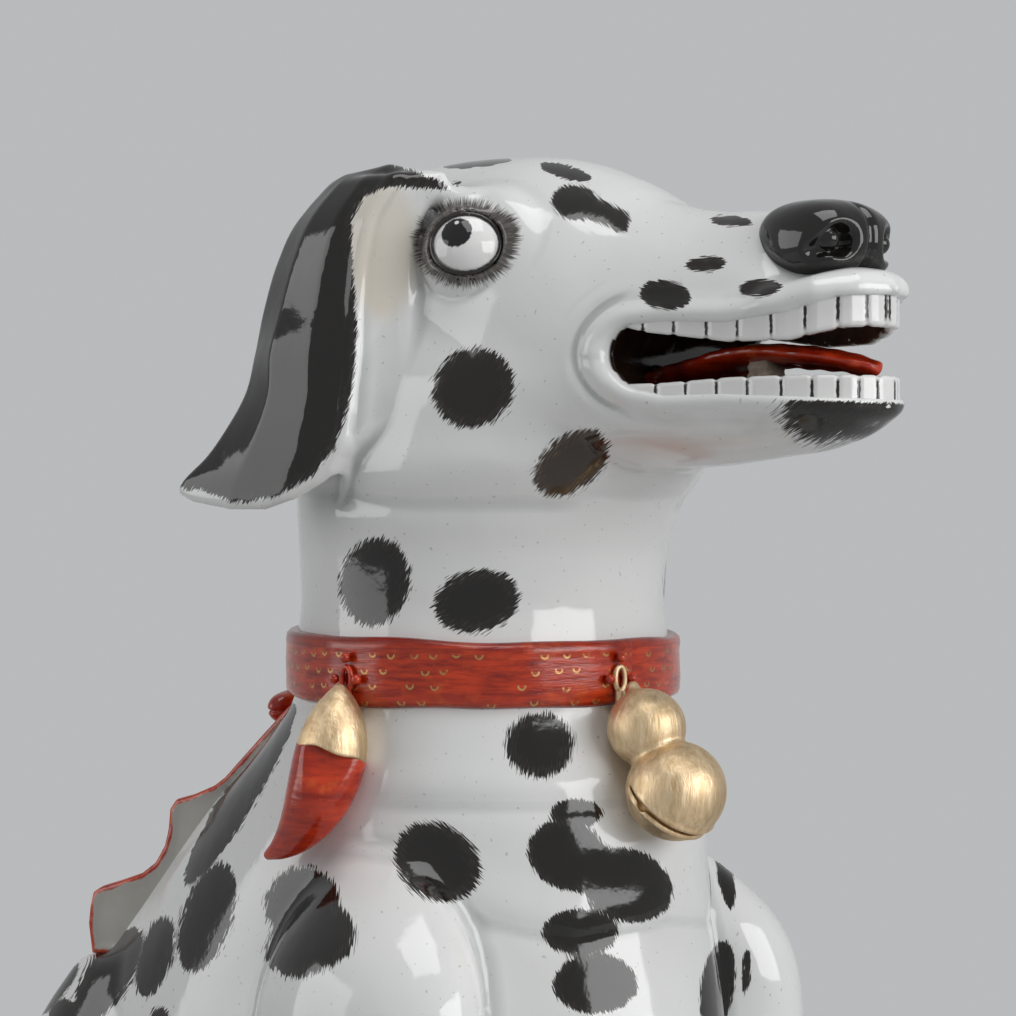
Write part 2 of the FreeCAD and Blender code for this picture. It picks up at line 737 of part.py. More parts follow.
def make_pieces():
    pieces = {}
    body = torso_blank()
    pieces["torso"] = torso(body)

    leg = leg_blank()
    haunch = haunch_blank()
    hind_paw = hind_paw_blank()
    both_sides(pieces, "foreleg", single(leg.cut(body)))
    both_sides(pieces, "haunch", single(haunch.cut([body, leg])))
    both_sides(pieces, "hind_paw", single(hind_paw.cut([body, haunch, leg])))
    pieces["tail"] = single(tail_blank().cut([body, mirrored(haunch)]))

    head = head_blank()
    nose = nose_blank()
    eye = eyeball_blank()
    neck = neck_blank()
    whole_head = single(head.fuse(neck))
    mouth = mouth_cutter()
    jaw_box = jaw_region()
    jaw = single(head.common(jaw_box).cut(mouth))
    shell = whole_head.cut(mouth).cut(jaw_box)
    shell = shell.cut([nose, eye, mirrored(eye)]).fuse(neck_spigot()).cut(head_hollow())
    pieces["head_shell"] = single(shell)
    pieces["lower_jaw"] = jaw
    pieces["nose_pad"] = single(nose.cut(nostrils()))
    both_sides(pieces, "eyeball", eye)
    both_sides(pieces, "eyelid_rim", eyelid_blank().cut([whole_head, eye]))
    both_sides(pieces, "ear", single(ear_blank().cut(whole_head)))
    pieces["upper_teeth"] = teeth(UPPER_ARCH_TIP_AHEAD, UPPER_LIP_SHARES, UPPER_TOOTH_SHARES)
    pieces["lower_teeth"] = teeth(LOWER_ARCH_TIP_AHEAD, LOWER_TOOTH_SHARES, LOWER_GUM_SHARES)
    tongue = tongue_blank()
    pieces["tongue"] = single(tongue.cut([shell, jaw]))
    pieces["tongue_prop"] = single(prop_blank().cut([tongue, jaw]))

    band = collar(neck)
    pieces["collar_band"] = band
    beads = lug_beads(FRONT_CHARM_TURN) + lug_beads(SIDE_CHARM_TURN)
    beads += lug_beads(-SIDE_CHARM_TURN)
    pieces["lug_beads"] = Part.makeCompound(beads)
    bell = gourd_bell()
    pieces["front_charm_loop"] = single(charm_loop(FRONT_CHARM_TURN).cut([bell, body, band]))
    pieces["gourd_bell"] = single(bell.cut([body, band]))
    cap = pepper_piece(0, PEPPER_CAP_SHARE)
    pepper = pepper_piece(PEPPER_CAP_SHARE, 1)
    both_sides(pieces, "pepper_cap", single(cap.cut([body, band])))
    both_sides(pieces, "pepper", single(pepper.cut([body, leg])))
    both_sides(pieces, "charm_loop", single(charm_loop(SIDE_CHARM_TURN).cut([cap, body, band])))
    ribbon = ribbon_tail()
    knot = ribbon_knot()
    both_sides(pieces, "ribbon_tail", single(ribbon.cut([body, haunch, knot, band])))
    pieces["ribbon_knot"] = single(knot.cut([body, band]))
    return pieces


def write_pieces():
    os.makedirs("parts", exist_ok=True)
    for name, shape in make_pieces().items():
        shape.exportStep("parts/" + name + ".step")


write_pieces()
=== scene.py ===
import math

import bpy
import numpy as np
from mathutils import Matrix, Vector

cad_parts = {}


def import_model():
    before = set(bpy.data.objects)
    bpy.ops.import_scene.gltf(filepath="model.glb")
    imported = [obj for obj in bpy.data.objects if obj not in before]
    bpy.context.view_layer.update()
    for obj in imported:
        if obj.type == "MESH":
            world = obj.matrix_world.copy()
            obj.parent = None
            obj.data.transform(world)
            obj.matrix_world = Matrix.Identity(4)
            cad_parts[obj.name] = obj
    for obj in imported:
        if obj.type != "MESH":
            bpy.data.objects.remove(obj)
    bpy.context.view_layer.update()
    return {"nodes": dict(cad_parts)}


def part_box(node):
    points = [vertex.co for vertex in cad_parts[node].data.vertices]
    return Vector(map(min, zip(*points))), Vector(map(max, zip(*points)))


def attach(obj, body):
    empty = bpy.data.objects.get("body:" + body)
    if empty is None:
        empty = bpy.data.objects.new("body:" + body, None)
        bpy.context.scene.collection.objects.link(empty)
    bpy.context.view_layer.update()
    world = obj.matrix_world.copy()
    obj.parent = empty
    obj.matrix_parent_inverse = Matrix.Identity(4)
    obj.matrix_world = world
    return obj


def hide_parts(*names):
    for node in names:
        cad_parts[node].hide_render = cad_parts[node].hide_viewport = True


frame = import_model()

# Lengths below are millimetres in the hound's own coordinates: side (its left is positive),
# ahead (from the neck's axis) and up (from the ground). world() turns them into the frame.
MM = 0.001
collar_low, collar_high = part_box("collar_band")
NECK_Y = (collar_low.y + collar_high.y) / 2


def world(points):
    points = np.atleast_2d(np.asarray(points, float))
    return np.column_stack((points[:, 0] * MM, NECK_Y - points[:, 1] * MM, points[:, 2] * MM))


def at(side, ahead, up):
    return Vector(world((side, ahead, up))[0])


# The camera stands level, 47 degrees towards the hound's right side, 1.1 m from the neck's axis.
PICTURE = 1016
VIEW_TURN = math.radians(47)
CAMERA_DISTANCE = 1100
CAMERA_UP = 459
CAMERA_ASIDE = 8.6
MM_PER_PIXEL = 0.345
SENSOR = 36
AXIS_COLUMN = 483
LEVEL_ROW = 508
TO_CAMERA = np.array((-math.sin(VIEW_TURN), math.cos(VIEW_TURN), 0.0))
TO_RIGHT = np.array((math.cos(VIEW_TURN), math.sin(VIEW_TURN), 0.0))
CAMERA_PLACE = TO_CAMERA * CAMERA_DISTANCE + TO_RIGHT * CAMERA_ASIDE + (0, 0, CAMERA_UP)


def on_picture(points):
    """Column and row in the photograph of each point, and the millimetres that a pixel spans there."""
    depth = points @ TO_CAMERA
    span = MM_PER_PIXEL * (1 - depth / CAMERA_DISTANCE)
    return AXIS_COLUMN + points @ TO_RIGHT / span, LEVEL_ROW - (points[:, 2] - CAMERA_UP) / span, span


def make_camera():
    data = bpy.data.cameras.new("photo_camera")
    data.sensor_width = SENSOR
    data.lens = SENSOR * CAMERA_DISTANCE / (PICTURE * MM_PER_PIXEL)
    camera = bpy.data.objects.new("photo_camera", data)
    camera.location = at(*CAMERA_PLACE)
    heading = at(*(CAMERA_PLACE - TO_CAMERA)) - at(*CAMERA_PLACE)
    camera.rotation_euler = heading.to_track_quat("-Z", "Y").to_euler()
    bpy.context.scene.collection.objects.link(camera)
    bpy.context.scene.camera = camera


# Solid forms as fields: negative inside, about the distance in millimetres outside.
FAR, TINY, LEAST_SHARE = 1e9, 1e-9, 1e-3
FINE_STEPS = 400


def curve_through(table, column):
    """A smooth line through one column of a table whose first column is the place along it."""
    rows = np.asarray(table, float)
    knots, values = rows[:, 0], rows[:, column]
    slopes = np.gradient(values, knots)
    fine = np.linspace(knots[0], knots[-1], FINE_STEPS)
    n = np.clip(np.searchsorted(knots, fine) - 1, 0, len(knots) - 2)
    gap = knots[n + 1] - knots[n]
    t = (fine - knots[n]) / gap
    smooth = (values[n] * (1 + 2 * t) * (1 - t) ** 2 + slopes[n] * gap * t * (1 - t) ** 2
              + values[n + 1] * t * t * (3 - 2 * t) + slopes[n + 1] * gap * t * t * (t - 1))
    return lambda place: np.interp(place, fine, smooth)


def line_at(line, place):
    """Straight stretches through a list of (place, value)."""
    rows = np.asarray(line, float)
    return np.interp(place, rows[:, 0], rows[:, 1])


def line_gap(x, y, corners):
    """Distance in a plane from the nearest straight stretch of a line of corners."""
    best = np.full(len(x), FAR)
    for (ax, ay), (bx, by) in zip(corners[:-1], corners[1:]):
        dx, dy = bx - ax, by - ay
        t = np.clip(((x - ax) * dx + (y - ay) * dy) / (dx * dx + dy * dy), 0, 1)
        best = np.minimum(best, np.hypot(x - ax - t * dx, y - ay - t * dy))
    return best


def polygon_gap(x, y, corners):
    """Distance outside (or, negative, inside) a closed outline."""
    closed = corners + corners[:1]
    inside = np.zeros(len(x), bool)
    for (ax, ay), (bx, by) in zip(closed[:-1], closed[1:]):
        edge = ax + (y - ay) / ((by - ay) or TINY) * (bx - ax)
        inside ^= ((ay > y) != (by > y)) & (x < edge)
    gap = line_gap(x, y, closed)
    return np.where(inside, -gap, gap)


def join(a, b, soft):
    """Two forms as one, blended over the soft distance."""
    h = np.clip(0.5 + 0.5 * (b - a) / soft, 0, 1)
    return b * (1 - h) + a * h - soft * h * (1 - h)


def carve(a, b, soft):
    """The first form without the second."""
    return -join(-a, b, soft)


def bump(x, width):
    """1 at zero, and fading out on both sides."""
    return np.exp(-(x / width) ** 2)


def step(x, start, end):
    """0 before the start and 1 after the end."""
    t = np.clip((x - start) / (end - start), 0, 1)
    return t * t * (3 - 2 * t)


def ring_distance(across, along, half_across, half_along, power=2.0):
    """About the distance from an oval, which a higher power makes squarer."""
    radius = np.hypot(across, along)
    share = (np.abs(across / half_across) ** power + np.abs(along / half_along) ** power) ** (1 / power)
    least = np.minimum(half_across, half_along)
    return np.where(share > LEAST_SHARE, radius * (1 - 1 / np.maximum(share, LEAST_SHARE)), -least)


CAP_SOFT = 6


class Column:
    """Upright stack of rings: (up, side, ahead, half width, half length)."""

    def __init__(self, table):
        self.low, self.high = table[0][0], table[-1][0]
        self.side, self.ahead, self.half_width, self.half_length = (
            curve_through(table, n) for n in (1, 2, 3, 4))

    def __call__(self, p, side=None):
        up = p[:, 2]
        x = (p[:, 0] if side is None else side) - self.side(up)
        wall = ring_distance(x, p[:, 1] - self.ahead(up), self.half_width(up), self.half_length(up))
        ends = np.maximum(self.low - up, up - self.high)
        return carve(wall, -ends, CAP_SOFT)


def egg(p, centre, halves, side=None):
    """A ball stretched to three half lengths."""
    x = (p[:, 0] if side is None else side) - centre[0]
    q = np.column_stack((x, p[:, 1] - centre[1], p[:, 2] - centre[2])) / halves
    k0 = np.linalg.norm(q, axis=1)
    k1 = np.linalg.norm(q / halves, axis=1)
    return np.where(k1 > TINY, k0 * (k0 - 1) / np.maximum(k1, TINY), -min(halves))


def rope(p, line, radii, side=None):
    """A tube with round ends along a line of points, each with its own radius."""
    q = p if side is None else np.column_stack((side, p[:, 1], p[:, 2]))
    best = np.full(len(q), FAR)
    for a, b, ra, rb in zip(line[:-1], line[1:], radii[:-1], radii[1:]):
        a, b = np.asarray(a, float), np.asarray(b, float)
        t = np.clip((q - a) @ (b - a) / ((b - a) @ (b - a)), 0, 1)
        gap = np.linalg.norm(q - a - t[:, None] * (b - a), axis=1) - (ra + (rb - ra) * t)
        best = np.minimum(best, gap)
    return best


def smooth_rope(points, radii, steps):
    """The same line of points and radii, with a smooth curve's points between them."""
    places = np.linspace(0, len(points) - 1, steps)
    table = [(n, *point, radius) for n, (point, radius) in enumerate(zip(points, radii))]
    line = np.column_stack([curve_through(table, n)(places) for n in (1, 2, 3)])
    return line, curve_through(table, 4)(places)


# Blocks of cells are tried first, and those within this share of their edge are filled in.
BLOCK, NEAR_SHARE, POINTS_AT_ONCE = 6, 1.7, 200000
SETTLE_TURNS = 3
SLOPE_REACH, LEAST_SLOPE, LONGEST_MOVE = 0.25, 0.05, 1.2


def net_surface(field, low, high, pitch):
    """Quads on the field's zero surface: one vertex for each crossed cell, then moved onto it."""
    low, high = np.asarray(low, float), np.asarray(high, float)
    count = np.ceil((high - low) / pitch).astype(int) + 1
    axes = [low[n] + pitch * np.arange(count[n]) for n in range(3)]
    coarse = [a[BLOCK // 2::BLOCK] for a in axes]
    grid = np.stack(np.meshgrid(*coarse, indexing="ij"), -1).reshape(-1, 3)
    far = field(grid).reshape([len(c) for c in coarse])
    index = [np.minimum(np.arange(c) // BLOCK, len(k) - 1) for c, k in zip(count, coarse)]
    values = far[np.ix_(*index)]
    near = np.argwhere(np.abs(values) < pitch * BLOCK * NEAR_SHARE)
    points = low + pitch * near
    parts = [field(part) for part in np.array_split(points, max(1, len(points) // POINTS_AT_ONCE))]
    values[tuple(near.T)] = np.concatenate(parts)

    cells = [c - 1 for c in count]
    total, middle = np.zeros(cells), np.zeros(cells + [3])
    edges = []
    for axis in range(3):
        one, two = (axis + 1) % 3, (axis + 2) % 3
        first = np.take(values, range(cells[axis]), axis)
        second = np.take(values, range(1, count[axis]), axis)
        crossed = (first < 0) != (second < 0)
        part = np.where(crossed, first / np.where(crossed, first - second, 1), 0)
        for a in (0, 1):
            for b in (0, 1):
                cut = [slice(None)] * 3
                cut[one] = slice(a, a + cells[one])
                cut[two] = slice(b, b + cells[two])
                here = crossed[tuple(cut)]
                total += here
                middle[..., axis] += part[tuple(cut)]
                middle[..., one] += a * here
                middle[..., two] += b * here
        edges.append((axis, one, two, crossed, first < 0))
    used = total > 0
    number = np.full(cells, -1)
    number[used] = np.arange(used.sum())
    verts = low + pitch * (np.argwhere(used) + middle[used] / total[used][:, None])
    quads = []
    for axis, one, two, crossed, first_inside in edges:
        place = np.argwhere(crossed)
        fine = (place[:, one] > 0) & (place[:, two] > 0)
        fine &= (place[:, one] < cells[one]) & (place[:, two] < cells[two])
        place = place[fine]
        quad = np.empty((len(place), 4), int)
        for corner, (a, b) in enumerate(((1, 1), (0, 1), (0, 0), (1, 0))):
            cell = place.copy()
            cell[:, one] -= a
            cell[:, two] -= b
            quad[:, corner] = number[tuple(cell.T)]
        turned = ~first_inside[tuple(place.T)]
        quad[turned] = quad[turned][:, ::-1]
        quads.append(quad)
    for _ in range(SETTLE_TURNS):
        verts = settle(field, verts)
    return verts, np.concatenate(quads)


def slope(field, points):
    steps = [field(points + shift) - field(points - shift) for shift in np.eye(3) * SLOPE_REACH]
    return np.column_stack(steps) / (2 * SLOPE_REACH)


def settle(field, points):
    """The points, moved towards the zero surface."""
    away = slope(field, points)
    size = np.maximum((away ** 2).sum(1), LEAST_SLOPE)
    move = away * (field(points) / size)[:, None]
    long = np.linalg.norm(move, axis=1)
    return points - move * np.minimum(1, LONGEST_MOVE / np.maximum(long, TINY))[:, None]


def mesh_piece(name, verts, faces, material, replaced, slot_name):
    mesh = bpy.data.meshes.new(name)
    mesh.from_pydata(world(verts).tolist(), [], np.asarray(faces).tolist())
    mesh.validate()
    mesh.polygons.foreach_set("use_smooth", [True] * len(mesh.polygons))
    mesh.update()
    piece = bpy.data.objects.new(name, mesh)
    bpy.context.scene.collection.objects.link(piece)
    mesh.materials.append(material)
    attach(piece, "root")
    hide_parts(*replaced)
    return piece


def mark(piece, name, values):
    layer = piece.data.attributes.new(name, "FLOAT", "POINT")
    layer.data.foreach_set("value", np.asarray(values, np.float32))


# The body. Each ring is (up, side, ahead, half width, half length), and each point of the tail
# is (side, ahead, up). A fold is a line of (degrees round the neck, up), its reach and its depth.
TORSO = [(-2, 0, -132, 63, 71), (0, 0, -132, 64, 72), (40, 0, -128, 72, 84), (90, 0, -114, 80, 100),
         (140, 0, -93, 86, 119), (190, 0, -70, 90, 136), (240, 0, -55, 92, 141), (284, 0, -46.5, 88, 136),
         (328, 0, -26.7, 80, 109), (355, 0, -14, 73, 95), (373, 0, -6, 69, 80), (393, 0, 0, 65, 66),
         (404, 0, 0, 62.5, 62.5), (430, 0, 0, 62.5, 62.5)]
FORELEG = [(0, 54, 50, 20, 23), (31, 54, 46, 18.4, 20), (69, 54.4, 42, 17.8, 19.4), (121, 57, 38, 19.4, 22),
           (172, 63, 33, 23, 28), (228, 73, 28, 27, 38), (276, 81, 26, 28, 46), (317, 76, 24, 24, 38),
           (346, 62, 16, 10, 17)]
HAUNCH = [(0, 74.5, -108.5, 26.6, 50.4), (39, 76, -94.4, 34.2, 70.6), (90, 76, -85, 38, 84),
          (141, 75.2, -87.3, 38, 83.2), (189, 73, -96.8, 35, 72.2), (237, 70.7, -106.2, 28.9, 55.4),
          (276, 68.4, -114.5, 19, 35.3), (300, 65.4, -118, 8.4, 15.1)]
TAIL = [(0, -190, 40), (-7, -220, 28), (-36, -239, 17), (-74, -237, 14.4), (-106, -212, 13.2),
        (-122, -164, 12), (-120, -116, 10.4)]
TAIL_RADII = [16, 15.4, 14, 12.8, 11.2, 9.3, 6]
CHEST_FOLDS = [([(-180, 363), (0, 363), (75, 362), (180, 362)], 80, 0.9),
               ([(-180, 333), (-69, 333), (-25, 319), (0, 324), (25, 319), (69, 333), (180, 333)], 62, 0.8)]

torso = Column(TORSO)
foreleg = Column(FORELEG)
haunch = Column(HAUNCH)
tail_line, tail_radii = smooth_rope(TAIL, TAIL_RADII, 31)


def paw(p, side, centre, halves, toe_gap, toe_start):
    """A flattened foot with two grooves between three toes."""
    form = egg(p, centre, halves, side)
    across = np.abs(side - centre[0])
    grooves = bump(across - toe_gap, 2.0) * step(p[:, 1], toe_start, toe_start + 14)
    return form + 2.6 * grooves


# Paws: centre, half lengths, a groove's distance from the middle and where it starts.
FORE_PAW = (54, 68, 0), (25, 36, 27), 8.5, 74
HIND_PAW = (84, -42, 0), (24, 67, 27), 8, 0
RESTING_UP = 0.4


def body_field(p):
    side = np.abs(p[:, 0])
    turn = np.degrees(np.arctan2(-p[:, 0], p[:, 1]))
    form = torso(p)
    for line, reach, depth in CHEST_FOLDS:
        rows = np.asarray(line, float)
        place = p[:, 2] - np.interp(turn, rows[:, 0], rows[:, 1])
        keep = 1 - step(np.abs(turn), reach - 16, reach + 10)
        form = form + keep * depth * (0.8 * bump(place, 3.6) - 1.3 * bump(place - 8, 8))
    leg = join(foreleg(p, side), paw(p, side, *FORE_PAW), 7)
    hind_paw, tail = paw(p, side, *HIND_PAW), rope(p, tail_line, tail_radii)
    for part, soft in ((leg, 7), (haunch(p, side), 6), (hind_paw, 4), (tail, 5)):
        form = join(form, part, soft)
    return carve(form, p[:, 2] - RESTING_UP, 1.5)


# The head. HEAD is (ahead, half width, height over the mouth, depth below it).
MOUTH_UP = 505
HEAD = [(-65, 8, 38, 2), (-60, 25, 52, 18), (-51, 38, 61, 31), (-35, 49.5, 68.5, 41), (-9, 55.5, 72.4, 42),
        (21, 55.5, 72.9, 41), (46, 53, 70.3, 39), (67, 48.0, 63, 36), (88, 40.5, 53, 33.6),
        (109, 34, 46.5, 32.3), (130, 29, 43, 30), (150, 25, 31, 27.2), (165, 19, 27, 21), (171, 12.5, 23, 15),
        (174.5, 3, 18.5, 8)]
NECK = [(385, 0, 0, 58, 58), (393, 0, 0, 62.3, 62.3), (430, 0, 0, 62.6, 62.6), (446, 0, 0.5, 63.5, 64),
        (462, 0, 4, 66, 68), (475, 0, 7, 66, 72), (487, 0, 6, 65, 71), (508, 0, 2, 60, 62),
        (532, 0, 0, 45, 45)]
# Lip and tooth lines: (ahead, up).
UPPER_LIP = [(86, 516), (93, 516.5), (100, 517), (109, 517.6), (130, 516.8), (150, 519.4), (165, 524),
             (190, 526)]
LOWER_GUM = [(86, 499), (93, 499), (100, 496.5), (109, 494.6), (130, 494.6), (150, 493.5), (165, 492.8),
             (190, 492)]
UPPER_EDGE = [(90, 519), (96, 516), (102, 514.4), (109, 513.5), (130, 510.7), (150, 510.8), (165, 514.6),
              (190, 516)]
LOWER_EDGE = [(90, 494), (96, 498.2), (109, 498.4), (130, 499.7), (150, 500), (165, 500), (190, 499.6)]
# The hanging ear at each height: (side, ahead) of its root, wall, front edge, outside and back edge.
EAR_LINES = [
    (576, 46, 28, 50, 22, 53, 16, 54, 8, 53, 0, 51, -7),
    (566, 50, 25, 55, 20, 60, 14, 62, 5, 61, -6, 57, -15),
    (554, 54, 21, 60, 15, 65, 9, 68, 0, 67, -13, 62, -25),
    (542, 56, 19, 62, 13, 67, 7, 70.5, -3, 70, -17, 65, -30),
    (526, 57, 18, 63, 12, 69, 6, 73.5, -4, 74, -19, 69, -32.5),
    (510, 57, 17, 64, 11.5, 70.5, 6, 77, -4, 78.5, -20, 72, -34),
    (497, 57, 16, 65, 11, 72, 5.5, 77.5, -4, 79.5, -20, 75, -35.5),
    (486, 58, 14, 66, 10, 73, 5, 79, -5, 82, -22, 79, -40),
    (476, 60, 10, 67, 8, 74, 4, 80, -7, 84, -26, 83, -46),
    (468, 62, 5, 70, 5, 75, 2, 81, -10, 85.5, -30, 87, -53),
    (456, 64, 0, 71, 1, 77, -2, 82, -14, 86, -34, 89, -57)]
EAR_LOW_EDGE = [(-60, 465), (-50, 461), (-34, 458.5), (-20, 458.5), (-9, 462), (-1, 467), (3, 471), (6, 476),
                (20, 492)]
EAR_TOP = 569
EAR_FOLD = ([(44, 34, 558), (48, 20, 565), (51, 6, 568.5), (54, -8, 566), (57, -18, 558)],
            [4, 4.6, 4.6, 4.2, 3])
EAR_HALF_THICK = 2.5

head_column = [curve_through(HEAD, n) for n in (1, 2, 3)]
ear_lines = [curve_through(EAR_LINES[::-1], n) for n in range(1, 13)]
neck = Column(NECK)


def head_core(p, side):
    ahead, up = p[:, 1], p[:, 2] - MOUTH_UP
    wide, top, low = (line(ahead) for line in head_column)
    form = ring_distance(side, up, wide, np.where(up > 0, top, low), 2.25)
    return carve(form, -np.maximum(HEAD[0][0] - ahead, ahead - HEAD[-1][0]), 3)


def mouth_gap(p, high_line, low_line, back, round_end):
    """Distance in side view from the slot between two lines, whose back end is round."""
    ahead, up = p[:, 1], p[:, 2]
    high, low = line_at(high_line, ahead), line_at(low_line, ahead)
    middle, half = (high + low) / 2, (high - low) / 2
    x = np.maximum(back - ahead, 0)
    y = np.abs(up - middle)
    behind = np.hypot(x, np.maximum(y - (half - round_end), 0)) - round_end
    return np.where(ahead < back, behind, y - half)


def ear_field(p, side):
    up = np.clip(p[:, 2], EAR_LINES[-1][0], EAR_LINES[0][0])
    points = [(ear_lines[2 * n](up), ear_lines[2 * n + 1](up)) for n in range(6)]
    sheet = line_gap(side, p[:, 1], points) - EAR_HALF_THICK
    ends = np.maximum(line_at(EAR_LOW_EDGE, p[:, 1]) - p[:, 2], p[:, 2] - EAR_TOP)
    sheet = carve(sheet, -ends, 3)
    front = np.hypot(side - points[2][0] + 0.6, p[:, 1] - points[2][1] - 1.2) - 3.0
    sheet = join(sheet, carve(front, -ends, 3), 1.5)
    return join(sheet, rope(p, *EAR_FOLD, side), 5)


def facing_axes(towards):
    """Unit lines to one side, upwards and outwards for something that faces that way."""
    out = np.array(towards) / np.linalg.norm(towards)
    aside = np.cross(out, (0, 0, 1.0))
    aside /= np.linalg.norm(aside)
    return aside, np.cross(aside, out), out


EYE_CENTRE = (44.3, 36.2, 542.6)
EYE_RADIUS = 14.5
LID_ASIDE, LID_RAISED, LID_AXIS = facing_axes((0.80, 0.57, 0.19))
LID_DEPTH, LID_BEND, LID_OPENING = 9.4, 0.016, 12.2
# Forms joined to the head, as the centre and half lengths of an egg or the line and radii of a rope.
BROW = (38, 37, 543), (10, 23, 21)
CHEEK = (34, 20, 492), (24, 46, 27)
BRIDGE = [(0, 92, 537.5), (0, 118, 539.4), (0, 133, 539.6)], [15, 13.2, 13]
LIP_FLARE = [(23, 144, 523), (18, 158, 525.4), (9, 166, 526), (0, 168.2, 525.4)], [3.0, 4.6, 5.6, 5.8]
LIP_BACK, LIP_ROUND = 99, 8.6
SLOT_BACK, HOLLOW_BACK = 84, 74
PALATE = [(80, 514), (109, 524), (140, 529), (170, 528), (190, 526)]
JAW_FLOOR = [(80, 494), (109, 489), (140, 487), (170, 489), (190, 490)]
CAVITY_BACK, CAVITY_ROUND = 92, 8
MOUTH_WALL = 5.5


THROAT_UP = 460


def throat_roll(p):
    """The fold of skin round the neck where the jaw meets it."""
    turn = np.abs(np.degrees(np.arctan2(-p[:, 0], p[:, 1])))
    over = p[:, 2] - THROAT_UP - 4 * step(turn, 60, 110)
    shown = step(turn, 12, 30) * (1 - step(turn, 105, 130))
    return shown * (1.3 * bump(over, 4.5) - 1.4 * bump(over - 12, 9))


def lip_roll(p, gap):
    """Lips that roll outward round the slot, with a crease behind the corner of the mouth."""
    ahead = p[:, 1]
    corner = 1 - step(ahead, 86, 99)
    crease = corner * (0.9 * bump(gap - 9.6, 2.0) - 0.5 * bump(gap - 13, 2.6))
    roll = np.where(p[:, 2] > MOUTH_UP + 2, 2.4, 1.9) * bump(gap - 3.4, 3.8)
    return step(ahead, 72, 84) * (crease - roll)


def with_eye_socket(form, from_eye):
    """The head with its raised lid round each eye and the hollow for the eyeball."""
    across, raised = from_eye @ LID_ASIDE, from_eye @ LID_RAISED
    past_lid = LID_DEPTH - from_eye @ LID_AXIS + LID_BEND * raised ** 2
    round_eye = np.linalg.norm(from_eye, axis=1) - EYE_RADIUS
    form = join(form, carve(round_eye - 1.5, past_lid, 1.0), 3)
    form = carve(form, np.maximum(past_lid, np.hypot(across, raised) - LID_OPENING), 1.6)
    return carve(form, round_eye - 0.1, 0.5)


def head_field(p):
    side, ahead = np.abs(p[:, 0]), p[:, 1]
    core = head_core(p, side)
    form = join(core, neck(p), 9)
    form = join(form, egg(p, *BROW, side), 7)
    form = join(form, egg(p, *CHEEK, side), 12) + throat_roll(p)
    form = join(form, rope(p, *BRIDGE), 9)
    gap = mouth_gap(p, UPPER_LIP, LOWER_GUM, LIP_BACK, LIP_ROUND)
    form = join(form + lip_roll(p, gap), rope(p, *LIP_FLARE, side), 7)
    form = join(form, ear_field(p, side), 7)
    form = with_eye_socket(form, np.column_stack((side, p[:, 1:])) - EYE_CENTRE)
    form = carve(form, np.maximum(gap, SLOT_BACK - ahead), 2.0)
    cavity = mouth_gap(p, PALATE, JAW_FLOOR, CAVITY_BACK, CAVITY_ROUND)
    return carve(form, np.maximum(np.maximum(cavity, core + MOUTH_WALL), HOLLOW_BACK - ahead), 2)


# Painted fur. Each spot is (hair direction in degrees, brownness, ovals), and each oval is
# (column, row, half length, half width, tilt) in the photograph's pixels.
SPOTS = [
    (55, 0.15, [(475, 388, 42, 39, 30)]),
    (52, 0.9, [(573, 463, 42, 27, 38)]),
    (15, 0.1, [(567, 172, 27, 6.5, -16)]),
    (128, 0.1, [(577, 203, 24, 17.5, -12), (605, 213, 17, 11, -25), (622, 221, 10, 12, 0)]),
    (10, 0.2, [(733, 221, 21, 5, -4)]),
    (10, 0.2, [(708, 264, 20, 7.5, 4)]),
    (165, 0.1, [(668, 295, 26, 14.5, -6)]),
    (10, 0.1, [(763, 288, 21, 8.5, 4)]),
    (20, 0.1, [(458, 183, 4, 2.5, 0)]),
    (10, 0.1, [(478, 163, 34, 4.5, 6)]),
    (70, 0.1, [(376, 582, 44, 35, 80)]),
    (35, 0.1, [(478, 601, 43, 31, 12)]),
    (90, 0.1, [(670, 582, 28, 6, 88)]),
    (80, 0.1, [(541, 745, 34, 32, 0)]),
    (-42, 0.1, [(439, 862, 46, 37, -35)]),
    (-70, 0.1, [(578, 813, 26, 14, 0), (570, 856, 42, 34, -25), (628, 885, 47, 36, -20),
                (582, 932, 38, 23, 0), (597, 984, 42, 30, 0)]),
    (75, 0.1, [(304, 904, 38, 37, 0), (316, 934, 41, 36, 0), (298, 951, 32, 27, 0)]),
    (85, 0.1, [(724, 868, 43, 8, 100)]),
    (85, 0.1, [(718, 985, 45, 16, 82)]),
    (85, 0.1, [(746, 970, 24, 4, 88)]),
    (60, 0.1, [(240, 795, 104, 17, 59)]),
    (72, 0.1, [(207, 918, 57, 25, 72)]),
    (76, 0.1, [(155, 957, 41, 17, 74)]),
    (60, 0.1, [(108, 975, 56, 23, 58)]),
    (60, 0.1, [(63, 1012, 15, 13, 0)]),
    (60, 0.1, [(160, 1016, 9, 9, 0)]),
    (50, 0.1, [(50, 993, 40, 11, 48)]),
]
# Painted alike on both sides: the black fur under the chin, the black face of the ear, the ring
# of hair round the eye and the cream tint inside the ear.
CHIN_FUR = (48, 0.1, [(848, 404, 64, 38, 12), (880, 402, 32, 27, 0)])
CHIN_BACK = 95
EAR_BLACK = [(452, 190), (441, 181), (384, 160), (300, 170), (240, 300), (160, 490), (199, 489), (236, 503),
             (277, 497), (316, 475), (335, 448), (347, 417), (356, 378), (358, 334), (357, 305), (353, 247),
             (353, 223), (364, 197), (392, 187), (425, 189)]
EAR_LEAN = math.radians(62)
EYE_RING = (466, 243, 51, 43)
EYE_REACH = 32
EAR_CREAM = (384, 248, 26, 58)
THROAT_STAIN = (662, 446, 48, 12)
